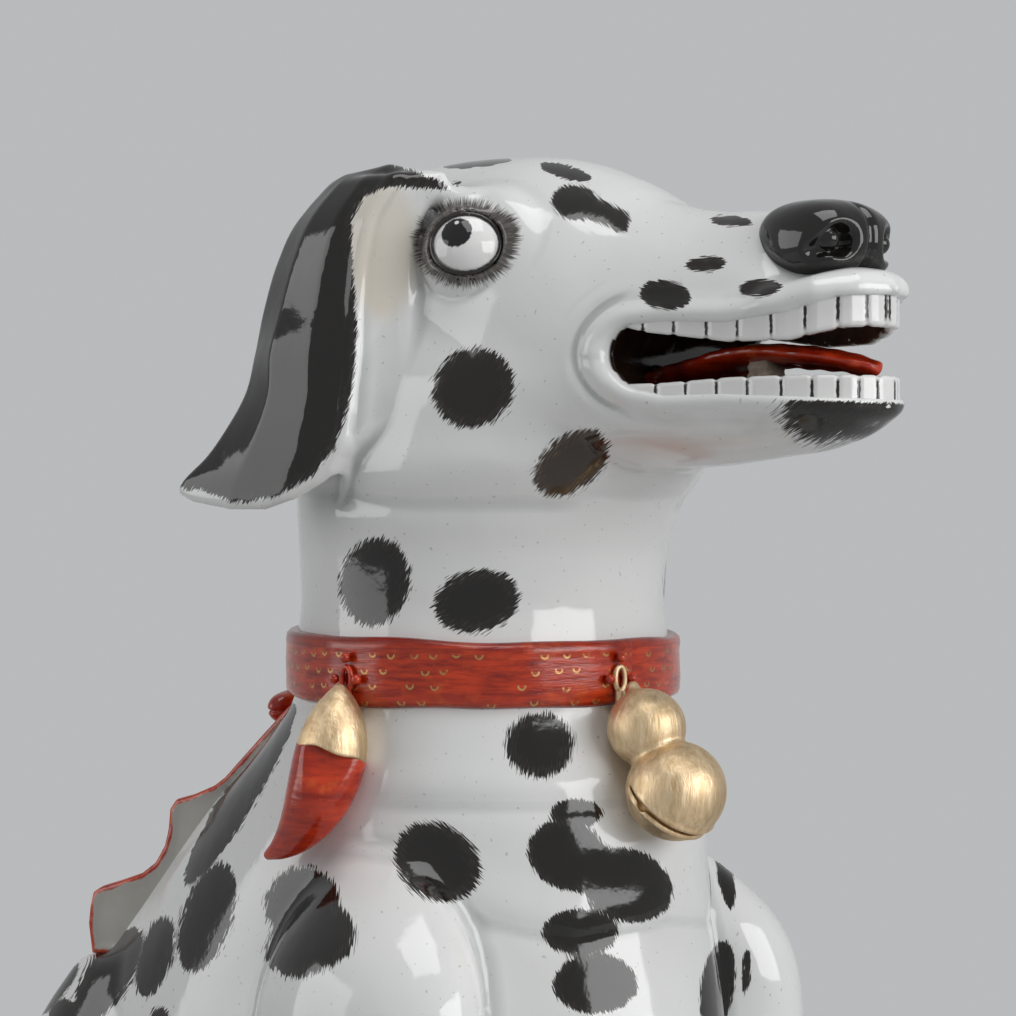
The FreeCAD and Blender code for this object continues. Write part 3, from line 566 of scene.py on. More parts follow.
# Painted shade in the mouth, near black: how deep below the head's plain form, how far ahead, and between which
# heights.
MOUTH_SHADE_DEPTH, MOUTH_SHADE_AHEAD, MOUTH_SHADE_LOW, MOUTH_SHADE_HIGH = 2.2, 72, 483, 533
NO_FUR = 60.0
SMALL_OVAL = 17
# How much shorter the hair is on small spots and on the ear, and how much longer on the chin.
SHORT_ON_SMALL, SHORT_ON_EAR, LONG_ON_CHIN = 1.7, 1.5, 2.6
# The photograph's spots stop where the surface turns away, and a little below its last row.
LEAST_FACING, LOWEST_ROW = 0.07, 1040
# The side that the photo doesn't show has round spots of the same kind, spread by a fixed rule.
HIDDEN_SPACING, HIDDEN_SIZES, HIDDEN_TRIES, HIDDEN_SEED = 38, (8.5, 16), 2500, 11


def oval_gap(column, row, oval):
    """Pixels outside (or, negative, inside) an oval of the photograph."""
    x0, y0, long, short, tilt = oval
    t = math.radians(tilt)
    u = (column - x0) * math.cos(t) - (row - y0) * math.sin(t)
    v = (column - x0) * math.sin(t) + (row - y0) * math.cos(t)
    return ring_distance(u, v, long, short)


class Fur:
    """Nearest painted patch of each vertex: how far its edge is, and places along and across its hair."""

    def __init__(self, count):
        self.edge = np.full(count, NO_FUR)
        self.along, self.across, self.brown = np.zeros(count), np.zeros(count), np.zeros(count)

    def paint(self, edge, along, across, brown, where):
        nearer = where & (edge < self.edge)
        self.edge[nearer] = edge[nearer]
        self.along[nearer] = along[nearer]
        self.across[nearer] = across[nearer]
        self.brown[nearer] = brown

    def paint_picture(self, spot, column, row, span, where, long=1.0, least=-99.0):
        direction, brown, ovals = spot
        edge = oval_gap(column, row, ovals[0])
        for oval in ovals[1:]:
            edge = join(edge, oval_gap(column, row, oval), 7)
        if min(oval[3] for oval in ovals) < SMALL_OVAL:
            edge = edge * SHORT_ON_SMALL
        along, across = hair_places(column, row, math.radians(direction))
        edge = np.maximum(edge * span / long, least)
        self.paint(edge, along * span, across * span, brown, where)


def hair_places(column, row, t):
    """Places along and across hair that leans so far from the picture's level line."""
    return column * math.cos(t) - row * math.sin(t), column * math.sin(t) + row * math.cos(t)


def scattered(pool, rng):
    """Centres spread over the hidden surface, each with a size and a turn."""
    chosen = []
    for point in pool[rng.permutation(len(pool))[:HIDDEN_TRIES]]:
        if all(np.linalg.norm(point - other) > HIDDEN_SPACING * rng.uniform(0.9, 1.25) for other in chosen):
            chosen.append(point)
    sizes = rng.uniform(*HIDDEN_SIZES, len(chosen))
    turns = rng.uniform(-0.5, 0.5, len(chosen))
    return zip(chosen, sizes, turns)


def paint_hidden(fur, verts, normals, hidden, roomy, seed):
    for centre, size, turn in scattered(verts[hidden & roomy], np.random.default_rng(seed)):
        away = verts - centre
        distance = np.linalg.norm(away, axis=1)
        out = normals[np.argmin(distance)]
        down = np.array((math.sin(turn), -0.3, -1.0))
        down = down - out * (down @ out)
        down /= max(np.linalg.norm(down), TINY)
        u, v = away @ down, away @ np.cross(out, down)
        angle = np.arctan2(v, u)
        wobble = 1 + 0.16 * np.sin(2 * angle + size) + 0.08 * np.sin(3 * angle + 2 * size)
        edge = np.hypot(u, v * 1.18) / wobble - size
        fur.paint(edge, u, v, 0.12, hidden & (distance < size * 3) & (normals @ out > 0.1))


def to_shown_side(verts, vectors):
    """The same vectors, mirrored at the vertices of the hound's left side onto its right."""
    return np.where(verts[:, :1] > 0, vectors * (-1, 1, 1), vectors)


def paint_head(piece, fur, verts, normals):
    """What is alike on both sides of the head. Gives back which vertices are on an ear."""
    mirrored, turned = to_shown_side(verts, verts), to_shown_side(verts, normals)
    column, row, span = on_picture(mirrored)
    toward = turned @ TO_CAMERA
    below_gum = (mirrored[:, 2] - line_at(LOWER_GUM, mirrored[:, 1]) + 1.2) * 3
    on_chin = (toward > -0.6) & (mirrored[:, 1] > CHIN_BACK)
    fur.paint_picture(CHIN_FUR, column, row, span, on_chin, LONG_ON_CHIN, below_gum)
    on_ear = ear_field(mirrored, -mirrored[:, 0]) < 4
    outside = (toward > -0.35) | (-turned[:, 0] > 0.2) | (turned[:, 2] > 0.35)
    ear_edge = np.where(outside, polygon_gap(column, row, EAR_BLACK) * span, 6)
    along, across = hair_places(column, row, EAR_LEAN)
    fur.paint(ear_edge * SHORT_ON_EAR, along * span, across * span, 0.1, on_ear)
    x0, y0, wide, high = EYE_RING
    angle = np.arctan2(row - y0, column - x0)
    from_eye = np.linalg.norm(mirrored - np.array(EYE_CENTRE) * (-1, 1, 1), axis=1)
    lashes = (ring_distance(column - x0, row - y0, wide, high) - 7 * bump(angle + 0.35, 0.3)) * span
    mark(piece, "ring", np.where((from_eye < EYE_REACH) & (ear_edge > 1), lashes, 20))
    mark(piece, "ring_turn", angle)
    x0, y0, wide, high = EAR_CREAM
    cream = bump(ring_distance(column - x0, row - y0, wide, high).clip(0), 14)
    mark(piece, "cream", cream * (toward > 0))
    # Where the inside of the mouth gets its near-black painted shade.
    core = head_core(verts, np.abs(verts[:, 0]))
    within = (core < -MOUTH_SHADE_DEPTH) & (verts[:, 1] > MOUTH_SHADE_AHEAD)
    mark(piece, "inside", within & (verts[:, 2] > MOUTH_SHADE_LOW) & (verts[:, 2] < MOUTH_SHADE_HIGH))
    x0, y0, wide, high = THROAT_STAIN
    mark(piece, "stain", bump(np.hypot((column - x0) / wide, (row - y0) / high), 1.0))
    return on_ear


def paint_fur(piece, verts, normals, on_head):
    fur = Fur(len(verts))
    column, row, span = on_picture(verts)
    facing = normals @ TO_CAMERA
    shown = (facing > LEAST_FACING) & (row < LOWEST_ROW)
    for spot in SPOTS:
        fur.paint_picture(spot, column, row, span, shown)
    roomy = np.full(len(verts), True)
    if on_head:
        on_ear = paint_head(piece, fur, verts, normals)
        roomy = (np.abs(verts[:, 0]) > 8) & (verts[:, 2] > 430) & (verts[:, 1] < 120) & ~on_ear
    roomy &= fur.edge > 24
    hidden = ~shown & ((verts[:, 2] > 8) | (facing < 0.3)) & (fur.edge > 7)
    paint_hidden(fur, verts, normals, hidden, roomy, HIDDEN_SEED + on_head)
    for name in ("edge", "along", "across", "brown"):
        mark(piece, name, getattr(fur, name))


HOLLOW_REACH = 3.0


def hollow_shade(field, verts):
    """Above zero where the surface is hollow, so that painted shade darkens the white glaze there."""
    total = -6 * field(verts)
    for shift in np.eye(3) * HOLLOW_REACH:
        total += field(verts + shift) + field(verts - shift)
    return -total / HOLLOW_REACH


# Materials
def fill(tree, socket, value):
    if isinstance(value, bpy.types.NodeSocket):
        tree.links.new(value, socket)
    elif value is not None:
        socket.default_value = (*value, 1) if socket.type == "RGBA" else value


def add_node(tree, kind, out=0, inputs=(), **settings):
    """A node with numbers or other nodes' sockets as inputs. Gives back one of its outputs."""
    made = tree.nodes.new("ShaderNode" + kind)
    for key, value in settings.items():
        setattr(made, key, value)
    for key, value in (inputs.items() if isinstance(inputs, dict) else enumerate(inputs)):
        fill(tree, made.inputs[key], value)
    return made.outputs[out]


def seen_directly(tree):
    """1 for what the camera, gloss and glass see, and 0 for the light that falls on the hound."""
    seen = add_node(tree, "LightPath", "Is Camera Ray")
    for ray in ("Is Glossy Ray", "Is Transmission Ray"):
        seen = add_node(tree, "Math", inputs=(seen, add_node(tree, "LightPath", ray)), operation="MAXIMUM")
    return seen


class Look:
    """A glazed material, built up by short calls that give back node sockets."""

    def __init__(self, name, roughness, **settings):
        self.material = bpy.data.materials.new(name)
        self.material.use_nodes = True
        self.tree = self.material.node_tree
        self.put(Roughness=roughness, IOR=1.5, **settings)
        self.where = self.node("TexCoord", "Object")

    def put(self, **values):
        for name, value in values.items():
            fill(self.tree, self.tree.nodes["Principled BSDF"].inputs[name.replace("_", " ")], value)

    def node(self, *kind, **settings):
        return add_node(self.tree, *kind, **settings)

    def value(self, name):
        return self.node("Attribute", "Fac", attribute_name=name)

    def do(self, operation, *inputs):
        return self.node("Math", inputs=inputs, operation=operation)

    def times(self, *inputs):
        return self.do("MULTIPLY", *inputs)

    def plus(self, *inputs):
        return self.do("ADD", *inputs)

    def minus(self, *inputs):
        return self.do("SUBTRACT", *inputs)

    def vector(self, *inputs):
        return self.node("CombineXYZ", inputs=inputs)

    def between(self, value, low, high, to_low=0.0, to_high=1.0):
        return self.node("MapRange", inputs=(value, low, high, to_low, to_high))

    def noise(self, scale, detail, rough=0.5, where=None, stretch=None):
        where = where or self.where
        if stretch:
            where = self.node("Mapping", inputs={"Vector": where, "Scale": stretch})
        inputs = {"Vector": where, "Scale": scale, "Detail": detail, "Roughness": rough}
        return self.node("TexNoise", inputs=inputs)

    def blend(self, share, a, b):
        return self.node("Mix", 2, inputs={0: share, 6: a, 7: b}, data_type="RGBA")

    def relief(self, height, depth, below=None):
        return self.node("Bump", inputs={"Height": height, "Distance": depth, "Normal": below})

    def waves(self):
        """The slow swell of hand-pressed clay under the glaze and its fine orange peel."""
        return self.relief(self.noise(420, 1.5), 0.000035, self.relief(self.noise(26, 2.5), 0.0012))

    def coat(self, colour, relief=None):
        self.put(Base_Color=colour, Normal=relief or self.waves())
        return self.material


WHITE_GLAZE = (0.77, 0.775, 0.765), (0.84, 0.84, 0.83)


def fur_paint(look, white):
    """Black brush hairs over the white, from the marks that Fur leaves on the vertices."""
    along, across = look.value("along"), look.value("across")
    strand = look.noise(1.0, 0.0, where=look.vector(look.times(across, 2.2), look.times(along, 0.16), 0.0))
    wisp = look.noise(1.0, 0.0, where=look.vector(look.times(across, 4.4), look.times(along, 0.30), 5.0))
    reach = look.plus(look.between(strand, 0.25, 0.75, -0.9, 0.9), look.between(wisp, 0.25, 0.75, -1.0, 1.0))
    ragged = look.plus(look.value("edge"), reach)
    thin = look.between(ragged, -4.0, -0.2, 0.04, 0.6)
    streak = look.times(look.between(wisp, 0.42, 0.66), thin)
    black = look.blend(look.value("brown"), (0.006, 0.0055, 0.005), (0.035, 0.022, 0.014))
    light = look.blend(look.value("brown"), (0.05, 0.047, 0.043), (0.20, 0.13, 0.085))
    return look.blend(look.between(ragged, 0.35, -0.25), white, look.blend(streak, black, light))


def eye_ring_paint(look, colour):
    """Short hairs that stand out all round the eye."""
    ring, turn = look.value("ring"), look.value("ring_turn")
    places = look.times(look.do("SINE", turn), 34.0), look.times(look.do("COSINE", turn), 34.0)
    hair = look.noise(1.0, 1.0, where=look.vector(*places, look.times(ring, 0.25)))
    reach = look.plus(ring, look.between(hair, 0.3, 0.7, -1.2, 1.2))
    shade = look.blend(look.between(hair, 0.38, 0.62), (0.028, 0.023, 0.020), (0.115, 0.097, 0.085))
    return look.blend(look.between(reach, 1.3, -1.0, 0.0, 0.95), colour, shade)


def porcelain(name, on_head):
    look = Look(name, 0.085)
    cloud = look.noise(14, 4)
    speck = look.do("GREATER_THAN", look.noise(700, 0), 0.815)
    white = look.blend(cloud, (0.76, 0.77, 0.77), (0.83, 0.835, 0.825))
    # Painted shade: the white turns darker grey in hollows and creases.
    white = look.blend(look.between(look.value("hollow"), 0.03, 0.5), white, (0.55, 0.57, 0.56))
    white = look.blend(look.times(speck, 0.45), white, (0.35, 0.33, 0.30))
    if not on_head:
        return look.coat(fur_paint(look, white))
    cream = look.times(look.value("cream"), look.between(cloud, 0.2, 0.6, 0.2, 0.8))
    stain = look.times(look.value("stain"), look.between(cloud, 0.3, 0.6, 0.1, 0.8))
    white = look.blend(stain, look.blend(cream, white, (0.74, 0.67, 0.55)), (0.72, 0.50, 0.40))
    colour = eye_ring_paint(look, fur_paint(look, white))
    # Painted shade: the inside of the mouth is near black.
    mouth_shade = look.blend(look.noise(180, 3), (0.006, 0.004, 0.003), (0.045, 0.026, 0.016))
    return look.coat(look.blend(look.value("inside"), colour, mouth_shade))


def red_enamel(name):
    look = Look(name, 0.16)
    brush = look.noise(60, 5, 0.65, stretch=(1, 1, 5))
    red = look.blend(look.between(brush, 0.34, 0.66), (0.30, 0.012, 0.003), (0.60, 0.045, 0.008))
    red = look.blend(look.between(look.noise(90, 3), 0.62, 0.78), red, (0.72, 0.12, 0.025))
    return look.coat(red, look.relief(brush, 0.00025, look.waves()))


def gilding(name):
    look = Look(name, None, Metallic=1.0)
    brush = look.noise(420, 4, 0.7, stretch=(1, 0.9, 0.14))
    wear = look.noise(70, 4, 0.6)
    gold = look.blend(look.between(brush, 0.3, 0.7), (0.52, 0.37, 0.20), (0.80, 0.63, 0.42))
    gold = look.blend(look.between(wear, 0.58, 0.8, 0.0, 0.5), gold, (0.40, 0.24, 0.10))
    look.put(Roughness=look.between(wear, 0.3, 0.7, 0.42, 0.56))
    return look.coat(gold, look.relief(brush, 0.0004))


def bare_clay(name):
    look = Look(name, 0.8)
    grain = look.noise(420, 5, 0.7)
    return look.coat(look.blend(grain, (0.16, 0.095, 0.055), (0.62, 0.55, 0.46)), look.relief(grain, 0.0002))


def black_gloss(name):
    look = Look(name, 0.07)
    return look.coat(look.blend(look.noise(60, 4), (0.004, 0.004, 0.004), (0.016, 0.013, 0.011)))


def lid_glaze(name):
    look = Look(name, 0.12)
    return look.coat(look.blend(look.noise(500, 4, 0.6), (0.005, 0.004, 0.004), (0.028, 0.022, 0.018)))


def eye_glaze(name):
    """White with a black pupil and one small white dot, which is a painted highlight."""
    look = Look(name, 0.05)
    edge = look.plus(look.value("pupil"), look.between(look.noise(900, 2), 0.3, 0.7, -0.006, 0.006))
    pupil = look.between(edge, PUPIL_SHARE - 0.006, PUPIL_SHARE + 0.004)
    colour = look.blend(pupil, look.blend(look.noise(60, 3), *WHITE_GLAZE), (0.006, 0.006, 0.007))
    # The white dot at the glint is a painted highlight.
    return look.coat(look.blend(look.between(look.value("glint"), 0.062, 0.045), colour, (0.8, 0.8, 0.8)))


def tooth_glaze(name):
    """White, with a thin black line in each cut between two teeth and brown clay behind."""
    look = Look(name, 0.07)
    width = look.plus(look.value("cut"), look.between(look.noise(700, 2), 0.3, 0.7, -0.16, 0.16))
    line = look.times(look.between(width, 0.62, 0.38), look.between(look.value("share"), 0.12, 0.3))
    colour = look.blend(line, look.blend(look.noise(60, 3), *WHITE_GLAZE), (0.012, 0.011, 0.010))
    inside = look.blend(look.noise(160, 4), (0.05, 0.035, 0.025), (0.30, 0.24, 0.18))
    return look.coat(look.blend(look.value("behind"), colour, inside))


def scallops(look, around, height):
    """Loose rows of small gilt arcs, each a little off its place in the row. 1 on the stroke."""
    row = look.do("FLOOR", look.do("DIVIDE", height, SCALLOP_UP))
    shifted = look.plus(look.do("DIVIDE", around, SCALLOP_ASIDE), look.times(row, 0.47))
    cell = look.do("FLOOR", shifted)
    chance = look.node("TexWhiteNoise", inputs={"Vector": look.vector(cell, row, 0.0)})
    jitter = look.node("TexWhiteNoise", inputs={"Vector": look.vector(cell, row, 7.0)})
    u = look.minus(look.do("FRACT", shifted), look.between(chance, 0, 1, 0.35, 0.65))
    v = look.do("FRACT", look.do("DIVIDE", height, SCALLOP_UP))
    v = look.minus(v, look.between(jitter, 0, 1, 0.42, 0.62))
    u, v = look.times(u, SCALLOP_ASIDE), look.times(v, SCALLOP_UP)
    from_middle = look.do("POWER", look.plus(look.times(u, u), look.times(v, v)), 0.5)
    off_line = look.do("ABSOLUTE", look.minus(from_middle, SCALLOP_RADIUS))
    stroke = look.times(look.between(off_line, 0.42, 0.25), look.between(v, 0.35, 0.1))
    for share in (look.do("GREATER_THAN", chance, 0.3),
                  look.between(look.noise(600, 2), 0.35, 0.5, 0.35, 1.0),
                  look.between(height, 19.0, 18.0)):
        stroke = look.times(stroke, share)
    return stroke


def collar_enamel(name):
    """Iron red, brushed on in streaks along the band, under gilt scallops, with painted shade in a line along
    the upper step and towards both edges.
    """
    look = Look(name, None)
    around, height = look.value("around"), look.value("height")
    brush = look.noise(1.0, 5.0, 0.65, look.vector(look.times(around, 0.07), look.times(height, 0.42), 0.0))
    red = look.blend(look.between(brush, 0.32, 0.62), (0.20, 0.008, 0.003), (0.58, 0.045, 0.008))
    patch = look.between(look.noise(110, 4, 0.6), 0.55, 0.75, 0.0, 0.75)
    red = look.blend(patch, red, (0.68, 0.10, 0.02))
    # Painted shade: a dark line along the narrow step below the upper edge.
    step_shade = look.between(look.do("ABSOLUTE", look.minus(height, 20.2)), 0.5, 0.1, 0.0, 0.6)
    red = look.blend(step_shade, red, (0.22, 0.012, 0.004))
    # Painted shade: darker towards the band's upper and lower edges, where it turns under.
    edges = look.between(look.do("ABSOLUTE", look.minus(height, 11.5)), 8.5, 11.5, 0.0, 0.7)
    red = look.blend(edges, red, (0.16, 0.006, 0.002))
    stroke = scallops(look, around, height)
    look.put(Metallic=look.times(stroke, 0.8), Roughness=look.between(stroke, 0, 1, 0.14, 0.35))
    return look.coat(look.blend(stroke, red, (0.46, 0.27, 0.10)), look.relief(brush, 0.00025, look.waves()))


def ribbon_enamel(name):
    look = Look(name, 0.12)
    brush = look.noise(90, 4, 0.6)
    red = look.blend(look.between(brush, 0.34, 0.66), (0.36, 0.02, 0.006), (0.66, 0.08, 0.02))
    # The ribbon's white underside, painted darker grey than the white glaze as painted shade.
    white = look.blend(look.noise(40, 4), (0.34, 0.33, 0.29), (0.56, 0.55, 0.51))
    edge = look.plus(look.value("edge"), look.between(brush, 0.3, 0.7, -0.7, 0.7))
    return look.coat(look.blend(look.between(edge, 2.6, 2.0), white, red))


def floor_paint(name):
    look = Look(name, 0.55, Emission_Color=AIR_COLOUR)
    look.put(Emission_Strength=look.times(seen_directly(look.tree), FLOOR_SEEN),
             Base_Color=look.blend(look.noise(3, 3), (0.50, 0.505, 0.51), (0.55, 0.55, 0.55)))
    return look.material


# Studio: a pale round floor, pale air all round, and soft boxes. Here lengths are metres.
AIR_COLOUR = (0.97, 0.985, 1.0)
AIR_LIGHT, AIR_SEEN, FLOOR_SEEN = 0.07, 0.50, 0.2
FLOOR_SIDES = 96
LAMP_AIM = 420
FLOOR_RINGS = (0.4, 0.8, 1.2, 1.6)


def link(name, data):
    made = bpy.data.objects.new(name, data)
    bpy.context.scene.collection.objects.link(made)
    return made


def make_floor():
    data = bpy.data.meshes.new("studio_floor")
    turns = np.linspace(0, 2 * math.pi, FLOOR_SIDES + 1)[:-1]
    verts = [at(0, 0, 0) + Vector((r * math.cos(a), r * math.sin(a), 0)) for r in FLOOR_RINGS for a in turns]
    faces = [list(range(FLOOR_SIDES))]
    for ring in range(len(FLOOR_RINGS) - 1):
        inner, outer = ring * FLOOR_SIDES, (ring + 1) * FLOOR_SIDES
        for n in range(FLOOR_SIDES):
            m = (n + 1) % FLOOR_SIDES
            faces.append((inner + n, outer + n, outer + m, inner + m))
    data.from_pydata(verts, [], faces)
    data.materials.append(floor_paint("studio_floor"))
    link("studio_floor", data)


def soft_box(name, turn, distance, up, width, height, power):
    """A lamp turned so many degrees to the camera's right round the hound, aimed at its collar."""
    t = VIEW_TURN - math.radians(turn)
    data = bpy.data.lights.new(name, "AREA")
    data.shape = "RECTANGLE"
    data.size, data.size_y, data.energy = width, height, power
    lamp = link(name, data)
    lamp.location = at(0, 0, 0) + Vector((-math.sin(t) * distance, -math.cos(t) * distance, up))
    lamp.rotation_euler = (at(0, 0, LAMP_AIM) - lamp.location).to_track_quat("-Z", "Y").to_euler()


def make_lights():
    soft_box("left_window", -80, 1.5, 0.72, 1.1, 0.9, 7)
    soft_box("right_window", 52, 1.9, 0.92, 1.5, 1.0, 23)
    soft_box("top_fill", 20, 0.5, 1.9, 1.0, 1.0, 11)
    air = bpy.data.worlds.new("studio_air")
    air.use_nodes = True
    colour, strength = air.node_tree.nodes["Background"].inputs[:2]
    seen = {0: seen_directly(air.node_tree), 3: AIR_LIGHT, 4: AIR_SEEN}
    fill(air.node_tree, colour, AIR_COLOUR)
    fill(air.node_tree, strength, add_node(air.node_tree, "MapRange", inputs=seen))
    bpy.context.scene.world = air


def painted_piece(name, field, low, high, pitch, replaced, material, on_head):
    """A large piece of white glaze, with its painted fur."""
    verts, quads = net_surface(field, low, high, pitch)
    piece = mesh_piece(name, verts, quads[:, ::-1], material, replaced, "glazed_body")
    normals = np.empty(len(verts) * 3)
    piece.data.vertex_normals.foreach_get("vector", normals)
    paint_fur(piece, verts, normals.reshape(-1, 3) * (1, -1, 1), on_head)
    # How hollow each vertex is, for the painted shade in hollows and creases.
    mark(piece, "hollow", hollow_shade(field, verts))


# Small pieces. Each has its own field, so that its edges are as soft as those of glazed clay.
def small_piece(name, field, low, high, pitch, material, slot_name, marks, pair):
    """A piece from its own field or, as a pair, the one on the hound's left and its mirror."""
    verts, quads = net_surface(field, low, high, pitch)
    for word, sign in (("left_", 1), ("right_", -1)) if pair else (("", 1),):
        faces = quads[:, ::-sign]
        piece = mesh_piece(word + name, verts * (sign, 1, 1), faces, material, [word + name], slot_name)
        for key, values in (marks(verts) if marks else {}).items():
            mark(piece, key, values)


GAZE = np.array((0.843, 0.353, 0.406))
# Where the painted highlight sits on the eyeball.
GLINT_SHARES = (0.02, 0.235)
LID_TURNS, LID_HALF_WIDE, LID_HALF_HIGH, LID_RADIUS = 41, 11.1, 9.7, 1.0
PUPIL_SHARE = math.cos(math.radians(21))


def eyeball_field(p):
    return np.linalg.norm(p - EYE_CENTRE, axis=1) - EYE_RADIUS


def eyeball_marks(verts):
    """How far each vertex is towards the gaze, and its distance from the painted glint."""
    ray = (verts - EYE_CENTRE) / EYE_RADIUS
    aside, raised, _ = facing_axes(GAZE)
    u, v = GLINT_SHARES
    return {"pupil": ray @ GAZE, "glint": np.hypot(ray @ aside - u, ray @ raised - v)}


def lid_line():
    turns = np.linspace(0, 2 * math.pi, LID_TURNS)
    across, up = LID_HALF_WIDE * np.cos(turns), LID_HALF_HIGH * np.sin(turns)
    out = np.sqrt(EYE_RADIUS ** 2 - across ** 2 - up ** 2)
    return EYE_CENTRE + np.column_stack((across, up, out)) @ (LID_ASIDE, LID_RAISED, LID_AXIS)


def lid_field(p):
    ring = rope(p, lid_line(), [LID_RADIUS] * LID_TURNS)
    return carve(ring, eyeball_field(p) - 0.15, 0.3)


NOSE_CENTRE, NOSE_HALVES, NOSE_POWER = (0, 147, 543), (18.6, 19.4, 12.6), 2.5
NOSTRIL_WING = (10.5, 151, 541), (9.4, 14, 10.8)
NOSTRIL = (11.8, 163.4, 541.4), (4.6, 6, 4.8)
NOSTRIL_COMMA = [(15, 161, 540.6), (18.2, 157, 538)], [3.2, 2.0]
NOSTRIL_BEAD = (13.0, 158.2, 541.8), (3.6, 4.2, 3.6)


def nose_field(p):
    side = np.abs(p[:, 0])
    shares = np.abs((np.column_stack((side, p[:, 1:])) - NOSE_CENTRE) / NOSE_HALVES)
    form = (np.sum(shares ** NOSE_POWER, axis=1) ** (1 / NOSE_POWER) - 1) * NOSE_HALVES[2]
    form = join(form, egg(p, *NOSTRIL_WING, side), 4)
    form = form + 1.1 * bump(side, 1.6) * step(p[:, 1], 156, 162)
    hole = join(egg(p, *NOSTRIL, side), rope(p, *NOSTRIL_COMMA, side), 2.5)
    return join(carve(form, hole, 3.2), egg(p, *NOSTRIL_BEAD, side), 1.2)


# Rows of teeth: one band of clay bent round the jaw, (distance from the middle, ahead).
ARCH = [(37.5, 90), (35.6, 100), (33.2, 109), (30.2, 120), (27.8, 130), (25.6, 141), (23.2, 150), (19.6, 159),
        (13.5, 166.5), (6.5, 170.3), (0, 171.3)]
UPPER_CUTS = (645, 676, 709, 740, 774, 808, 841, 870, 889)
LOWER_CUTS = (658, 688, 719, 750, 784, 815, 841, 862, 881)


def arch_gap(p, inset, half_thick):
    return line_gap(np.abs(p[:, 0]) + inset, p[:, 1] + inset * 0.4, ARCH) - half_thick


def nearest_cut(p, cuts):
    """Millimetres to the nearest line between two teeth, from its column in the photograph."""
    column, _, span = on_picture(np.column_stack((-np.abs(p[:, 0]), p[:, 1:])))
    return np.min(np.abs(column[:, None] - np.array(cuts)), axis=1) * span


class Teeth:
    """One row of teeth: the line of its tips, its gum, its cuts, and 1 if it hangs or -1 if it stands."""

    def __init__(self, *row):
        self.edge, self.gum, self.cuts, self.hangs = row

    def field(self, p):
        notch = bump(nearest_cut(p, self.cuts), 0.9)
        above_tip = (p[:, 2] - line_at(self.edge, p[:, 1])) * self.hangs
        above_root = (p[:, 2] - line_at(self.gum, p[:, 1]) - 3 * self.hangs) * self.hangs
        form = carve(arch_gap(p, 2.4, 2.3) + 0.35 * notch, above_tip - 0.5 * notch, 1.4)
        form = carve(form, -above_root, 1.0)
        return carve(form, p[:, 1] - 93, 2)

    def marks(self, verts):
        tip, root = line_at(self.edge, verts[:, 1]), line_at(self.gum, verts[:, 1])
        height = np.where(np.abs(root - tip) < 0.5, self.hangs * 0.5, root - tip)
        return {"cut": nearest_cut(verts, self.cuts), "share": (verts[:, 2] - tip) / height,
                "behind": arch_gap(verts, 4.8, 0) < arch_gap(verts, 0.0, 0)}


# (ahead, half width, up, half thickness)
TONGUE = [(82, 12, 500, 3.2), (92, 14, 502, 3.6), (104, 15.5, 503.8, 3.8), (118, 16, 506.6, 3.7),
          (132, 15, 507.4, 3.5), (145, 13, 506.2, 3.2), (156, 10, 504.6, 2.7), (164, 6.5, 502.8, 2.3),
          (168, 3, 502.2, 1.6)]
tongue_line = [curve_through(TONGUE, n) for n in (1, 2, 3)]


def tongue_field(p):
    side, ahead, up = p.T
    wide, middle, thick = (line(ahead) for line in tongue_line)
    lift = 1.6 * (side / wide) ** 2 - 1.3 * bump(side, 2.2)
    form = ring_distance(side, up - middle - lift * 0.6, wide, thick, 2.3)
    form = form + 0.2 * np.sin(ahead * 0.7 + side * 0.3)
    return carve(form, -np.maximum(TONGUE[0][0] - ahead, ahead - TONGUE[-1][0] - 0.5), 2.5)


PROP_CENTRE, PROP_HALVES, PROP_TOP = (-6.5, 129.5, 500.5), (4.6, 3.9, 6.6), 506


def prop_field(p):
    side, _, up = p.T
    x, y, z = (np.abs(p - PROP_CENTRE) - PROP_HALVES).T
    x = x - 0.1 * (PROP_TOP - up)
    return carve(carve(x, -y, 1.0), -z, 1.2) + 0.25 * np.sin(up * 2.1) * np.sin(side * 1.3)


# Collar: a flat band with a slightly uneven edge and a narrow step below its upper edge. The
# profile is (share of the height, radius).
COLLAR_PROFILE = [(0.2, 62.7), (0.0, 66.2), (0.035, 67.3), (0.10, 67.9), (0.3, 68.0), (0.55, 67.9),
                  (0.74, 67.85), (0.80, 67.9), (0.83, 68.05), (0.87, 68.0), (0.94, 67.7), (0.985, 66.6),
                  (1.0, 65.4), (0.95, 62.7)]
COLLAR_TURNS = 420
COLLAR_RADIUS, COLLAR_UP = 68, 393
COLLAR_LOW, COLLAR_HIGH, COLLAR_OUTSIDE = 394.3, 416.0, 66
PULL_TURN, PULL_WIDTH, PULL_RISE = -2.4, 0.6, 1.6
SCALLOP_UP, SCALLOP_ASIDE, SCALLOP_RADIUS = 5.2, 7.4, 1.15


def wavy(turn, *waves):
    """A sum of waves round the neck: (size, count, start)."""
    return sum(size * math.sin(count * turn + start) for size, count, start in waves)


